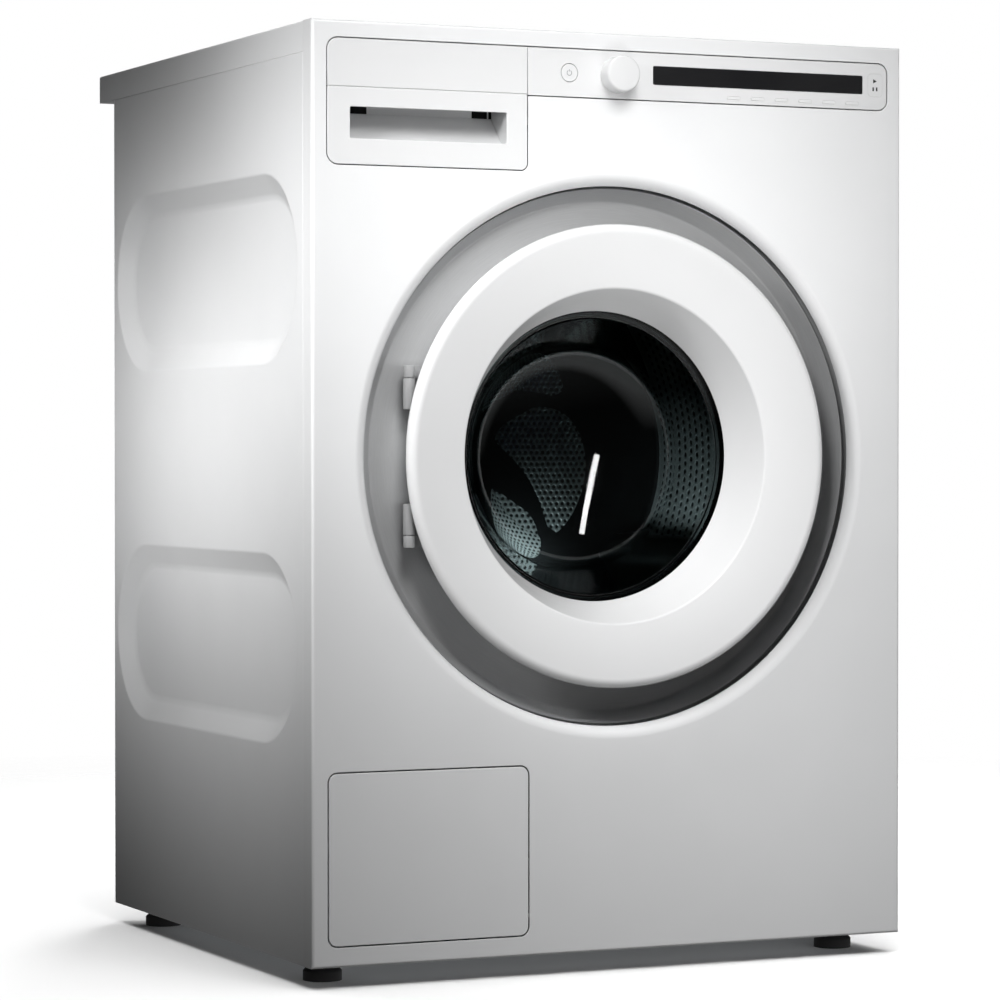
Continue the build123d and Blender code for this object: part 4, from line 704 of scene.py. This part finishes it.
work = bmesh.new()
slab(work, stripOutline, 0, strip["skin"], strip["edge"])
flat = [f for f in work.faces if atDepth(f) or atDepth(f, strip["skin"])]
bmesh.ops.delete(work, geom=flat, context="FACES_KEEP_BOUNDARY")
margin = strip["margin"]
holeRim(work, grown(windowOutline, strip["windowGap"] + margin), margin, strip["skin"])
holeRim(work, grown(startOutline, strip["startGap"] + margin), margin, strip["skin"])
for x in keyPlaces:
    holeRim(work, grown(keyOutline(x), keys["gap"] + keys["margin"]), keys["margin"], strip["skin"])
part = bmesh.new()
radius = strip["powerRadius"]
hole = radius + strip["powerGap"]
turnProfile(part, [(radius + strip["powerRim"], 0, 0), (hole, 0, 0.3), (hole, strip["skin"], 0)],
            centre=strip["power"], steps=64, segments=3)
addPart(work, part)
fillFront(work)
fillFront(work, strip["skin"])
keepPiece(work, "controlStrip", "cabinet", "white_gloss", ["control_fascia"], flats=True)
work = bmesh.new()
slab(work, windowOutline, *caps["pane"])
keepPiece(work, "displayPane", "cabinet", "display_black", ["display_window"], flats=True)
powerDish = [(0, 0.3, 0), (radius - 2.0, 0.2, 3.0), (radius, 0.0, 0.4), (radius, 4.0, 0), (0, 4.0, 0)]
turnedPiece(powerDish, "powerCap", "power", "white_gloss", ["power_button"], centre=strip["power"], steps=64,
            segments=4)
work = bmesh.new()
slab(work, startOutline, *caps["start"])
keepPiece(work, "startCap", "start", "white_gloss", ["start_button"], flats=True)
for i, x in enumerate(keyPlaces, 1):
    work = bmesh.new()
    slab(work, keyOutline(x), *caps["key"])
    keepPiece(work, f"optionKey{i}", f"key_{i}", "key_white", [f"option_key_{i}"], flats=True)

signs = {"powerDepth": (0.15, 0.35), "arc": (2.0, 2.6), "arcStart": 30.0, "arcSweep": 300.0, "barHalf": 0.3,
         "bar": (1.2, 3.2), "startDepth": (-0.04, 0.06), "play": (270.0, 818.0), "playHalf": 2.0,
         "playCorner": 0.3, "pause": (270.0, 810.6), "pauseHalf": 1.8, "pauseAway": 1.9, "pauseThick": 0.8,
         "pauseCorner": 0.2}
work = bmesh.new()  # broken ring with a bar
x, z = strip["power"]
near, far = signs["powerDepth"]
turn = Matrix.Rotation(math.radians(signs["arcStart"]), 3, "Y")
start = [work.verts.new(spot(x, near, z) + turn @ Vector((0, 0, r * mm))) for r in signs["arc"]]
bmesh.ops.spin(work, geom=start + [work.edges.new(start)], cent=spot(x, 0, z), axis=(0, 1, 0),
               angle=math.radians(signs["arcSweep"]), steps=32)
extrude(work, work.faces[:], (0, (far - near) * mm, 0))
bar = boxCorners((x - signs["barHalf"], x + signs["barHalf"]), [z + end for end in signs["bar"]])
slab(work, bar, near, far, 0)
keepPiece(work, "powerSign", "power", "sign_grey")
work = bmesh.new()  # triangle above two bars
near, far = signs["startDepth"]
(x, z), half, corner = signs["play"], signs["playHalf"], signs["playCorner"]
slab(work, [(x - half, z - half, corner), (x + half, z, corner), (x - half, z + half, corner)], near, far, 0)
(x, z), half, thick = signs["pause"], signs["pauseHalf"], signs["pauseThick"]
for middle in (x - signs["pauseAway"], x + signs["pauseAway"]):
    bar = boxCorners((middle - thick, middle + thick), (z - half, z + half), [signs["pauseCorner"]] * 4)
    slab(work, bar, near, far, 0)
keepPiece(work, "startSigns", "start", "sign_black")
print("control strip")

# programme knob
knob = {"centre": (0.0, 812.7),
        "profile": [(0.0, -15.5, 0), (16.5, -15.5, 2.2), (16.5, -0.3, 0), (7.0, -0.3, 0), (7.0, 16.0, 0),
                    (0.0, 16.0, 0)]}
turnedPiece(knob["profile"], "programKnob", "knob", "white_gloss", ["program_knob"], centre=knob["centre"],
            steps=96)
print("knob")

# studio floor and surroundings, in metres
studio = {"floor": 3.0, "fade": (0.9, 2.2), "ambient": 0.015, "mirror": (0.015, 0.5), "lean": 0.2,
          "mirrorLean": (0.15, 0.6), "backdrop": 1.0}
work = bmesh.new()
bmesh.ops.create_circle(work, cap_ends=True, segments=64, radius=studio["floor"])
mesh = bpy.data.meshes.new("studioFloor")
work.to_mesh(mesh)
work.free()
floor = bpy.data.objects.new("studioFloor", mesh)
bpy.context.scene.collection.objects.link(floor)
tree, shader, place = plainFinish("floor_paper", (0.9, 0.9, 0.9), (0.88, 0.88, 0.88), (0.7, 0.8), 60.0,
                                  0.0001, cloud=2.0)
away = addNode(tree, "ShaderNodeVectorMath", place, operation="LENGTH").outputs["Value"]
tree.links.new(spread(tree, away, 1.0, 0.0, *studio["fade"]), shader.inputs["Alpha"])
mesh.materials.append(finishes["floor_paper"])
floor.visible_diffuse = False  # the paper takes shadows and gives no light back
floor.visible_glossy = False
floor.visible_transmission = False

world = bpy.data.worlds.new("studio")
world.use_nodes = True
bpy.context.scene.world = world
tree = world.node_tree
light = tree.nodes["Background"]
light.inputs["Color"].default_value = (1.0, 1.0, 1.0, 1.0)
paths = tree.nodes.new("ShaderNodeLightPath").outputs
around = tree.nodes.new("ShaderNodeTexCoord").outputs["Generated"]
toward = addNode(tree, "ShaderNodeSeparateXYZ", around).outputs
down = calc(tree, "MULTIPLY", toward[2], -1.0)
lean = calc(tree, "ADD", down, calc(tree, "MULTIPLY", toward[0], studio["lean"]))
mirror = spread(tree, lean, *studio["mirror"], *studio["mirrorLean"])
strength = spread(tree, paths["Is Glossy Ray"], studio["ambient"], mirror, 0.0, 1.0)
strength = spread(tree, paths["Is Camera Ray"], strength, studio["backdrop"], 0.0, 1.0)
tree.links.new(strength, light.inputs["Strength"])

# lamps: place, aim, size, spread in degrees, watts
lampRows = {"key": ((-0.2, -1.2, 1.6), (0.1, -0.279, 0.45), 0.7, 60.0, 2.078),
            "high": ((0.3, -1.2, 2.1), (-0.15, -0.279, 0.65), 1.2, 20.0, 0.558),
            "topLeft": ((-0.7, -1.5, 1.5), (-0.25, -0.279, 0.75), 0.7, 30.0, 0.233),
            "crown": ((-0.6, -1.6, 1.0), (-0.2, -0.279, 0.86), 0.4, 22.0, 0.098),
            "crownRight": ((0.6, -1.6, 1.0), (0.25, -0.279, 0.86), 0.4, 22.0, 0.107),
            "low": ((0.0, -1.0, 0.12), (0.0, -0.279, 0.62), 0.2, 50.0, 0.3),
            "lowRight": ((0.6, -1.6, 0.3), (0.15, -0.279, 0.2), 0.4, 60.0, 0.549),
            "corner": ((-1.2, -0.6, 1.1), (-0.2975, -0.27, 0.62), 0.3, 40.0, 0.803),
            "cheek": ((-1.2, -0.2, 0.6), (-0.2975, 0.05, 0.52), 0.3, 25.0, 0.121),
            "cheekLow": ((-2.2, -0.2, 0.4), (-0.2975, 0.05, 0.42), 0.3, 25.0, 0.132),
            "cheekHigh": ((-1.6, -0.2, 1.0), (-0.2975, -0.27, 0.42), 0.6, 25.0, 0.181),
            "cheekRear": ((-1.6, 0.5, 0.5), (-0.2975, 0.22, 0.5), 0.4, 30.0, 0.261),
            "rear": ((1.5, 2.4, 1.7), (0.1, 0.2, 0.45), 1.2, 120.0, 26.0)}
ownLamps = {"ring": ((-0.3, -0.75, 0.95), (0.0, -0.25, 0.6), 0.2, 120.0, 2.0),
            "glint": ((0.812, -2.0, 0.5365), (0.02, -0.17, 0.42), 0.014, 60.0, 0.017),
            "wall": ((0.06, -0.03, 0.36), (0.235, 0.03, 0.385), 0.04, 70.0, 0.06),
            "back": ((0.09, -0.02, 0.33), (0.09, 0.1, 0.36), 0.04, 70.0, 0.035),
            "ceiling": ((0.0, 0.0, 3.0), (0.0, 0.001, 0.0), 3.0, 150.0, 95.0)}
glintShape = {"tall": 0.163, "roll": -17.7}


def softbox(name, at, aim, size, spread, watts, tall=None, roll=0.0):
    data = bpy.data.lights.new(name, "AREA")
    data.shape = "RECTANGLE"
    data.size = size
    data.size_y = tall or size
    data.spread = math.radians(spread)
    data.energy = watts
    lamp = bpy.data.objects.new(name, data)
    lamp.location = at
    toward = (Vector(aim) - Vector(at)).to_track_quat("-Z", "Y")
    lamp.rotation_euler = (toward @ Quaternion((0, 0, 1), math.radians(roll))).to_euler()
    lamp.visible_camera = False
    lamp.visible_transmission = False
    bpy.context.scene.collection.objects.link(lamp)
    return lamp


def lightOnly(lamp, name, piece, state="INCLUDE"):
    linked = bpy.data.collections.new(name)
    linked.objects.link(piece)
    linked.collection_objects[0].light_linking.link_state = state
    lamp.light_linking.receiver_collection = linked


ring, bowl, drum = (bpy.data.objects[name] for name in ("sealRing", "glassBowl", "drumWall"))
lamps = {name: softbox(name + "Lamp", *row) for name, row in lampRows.items()}
for lamp in lamps.values():
    lamp.visible_glossy = False
for name in ("key", "high", "low", "lowRight", "crownRight"):  # the ring has a lamp of its own
    lightOnly(lamps[name], name + "Reach", ring, "EXCLUDE")
ringLamp = softbox("ringLamp", *ownLamps["ring"])
ringLamp.visible_glossy = False
lightOnly(ringLamp, "ringReach", ring)
glintLamp = softbox("glintLamp", *ownLamps["glint"], **glintShape)
glintLamp.visible_diffuse = False
lightOnly(glintLamp, "glintReach", bowl)
for name in ("wall", "back"):
    lightOnly(softbox(name + "Inside", *ownLamps[name]), name + "Reach", drum)
lightOnly(softbox("ceilingLamp", *ownLamps["ceiling"]), "ceilingReach", floor)
bpy.context.scene.view_settings.view_transform = "Standard"

lens = {"at": (-1.5132, -3.2937, 0.47755), "tilt": 89.15845, "turn": -24.857, "mm": 133.9, "film": 36.0}
data = bpy.data.cameras.new("photoCamera")
data.lens = lens["mm"]
data.sensor_width = lens["film"]
camera = bpy.data.objects.new("photoCamera", data)
camera.location = lens["at"]
camera.rotation_euler = (math.radians(lens["tilt"]), 0.0, math.radians(lens["turn"]))
bpy.context.scene.collection.objects.link(camera)
bpy.context.scene.camera = camera
print("studio")
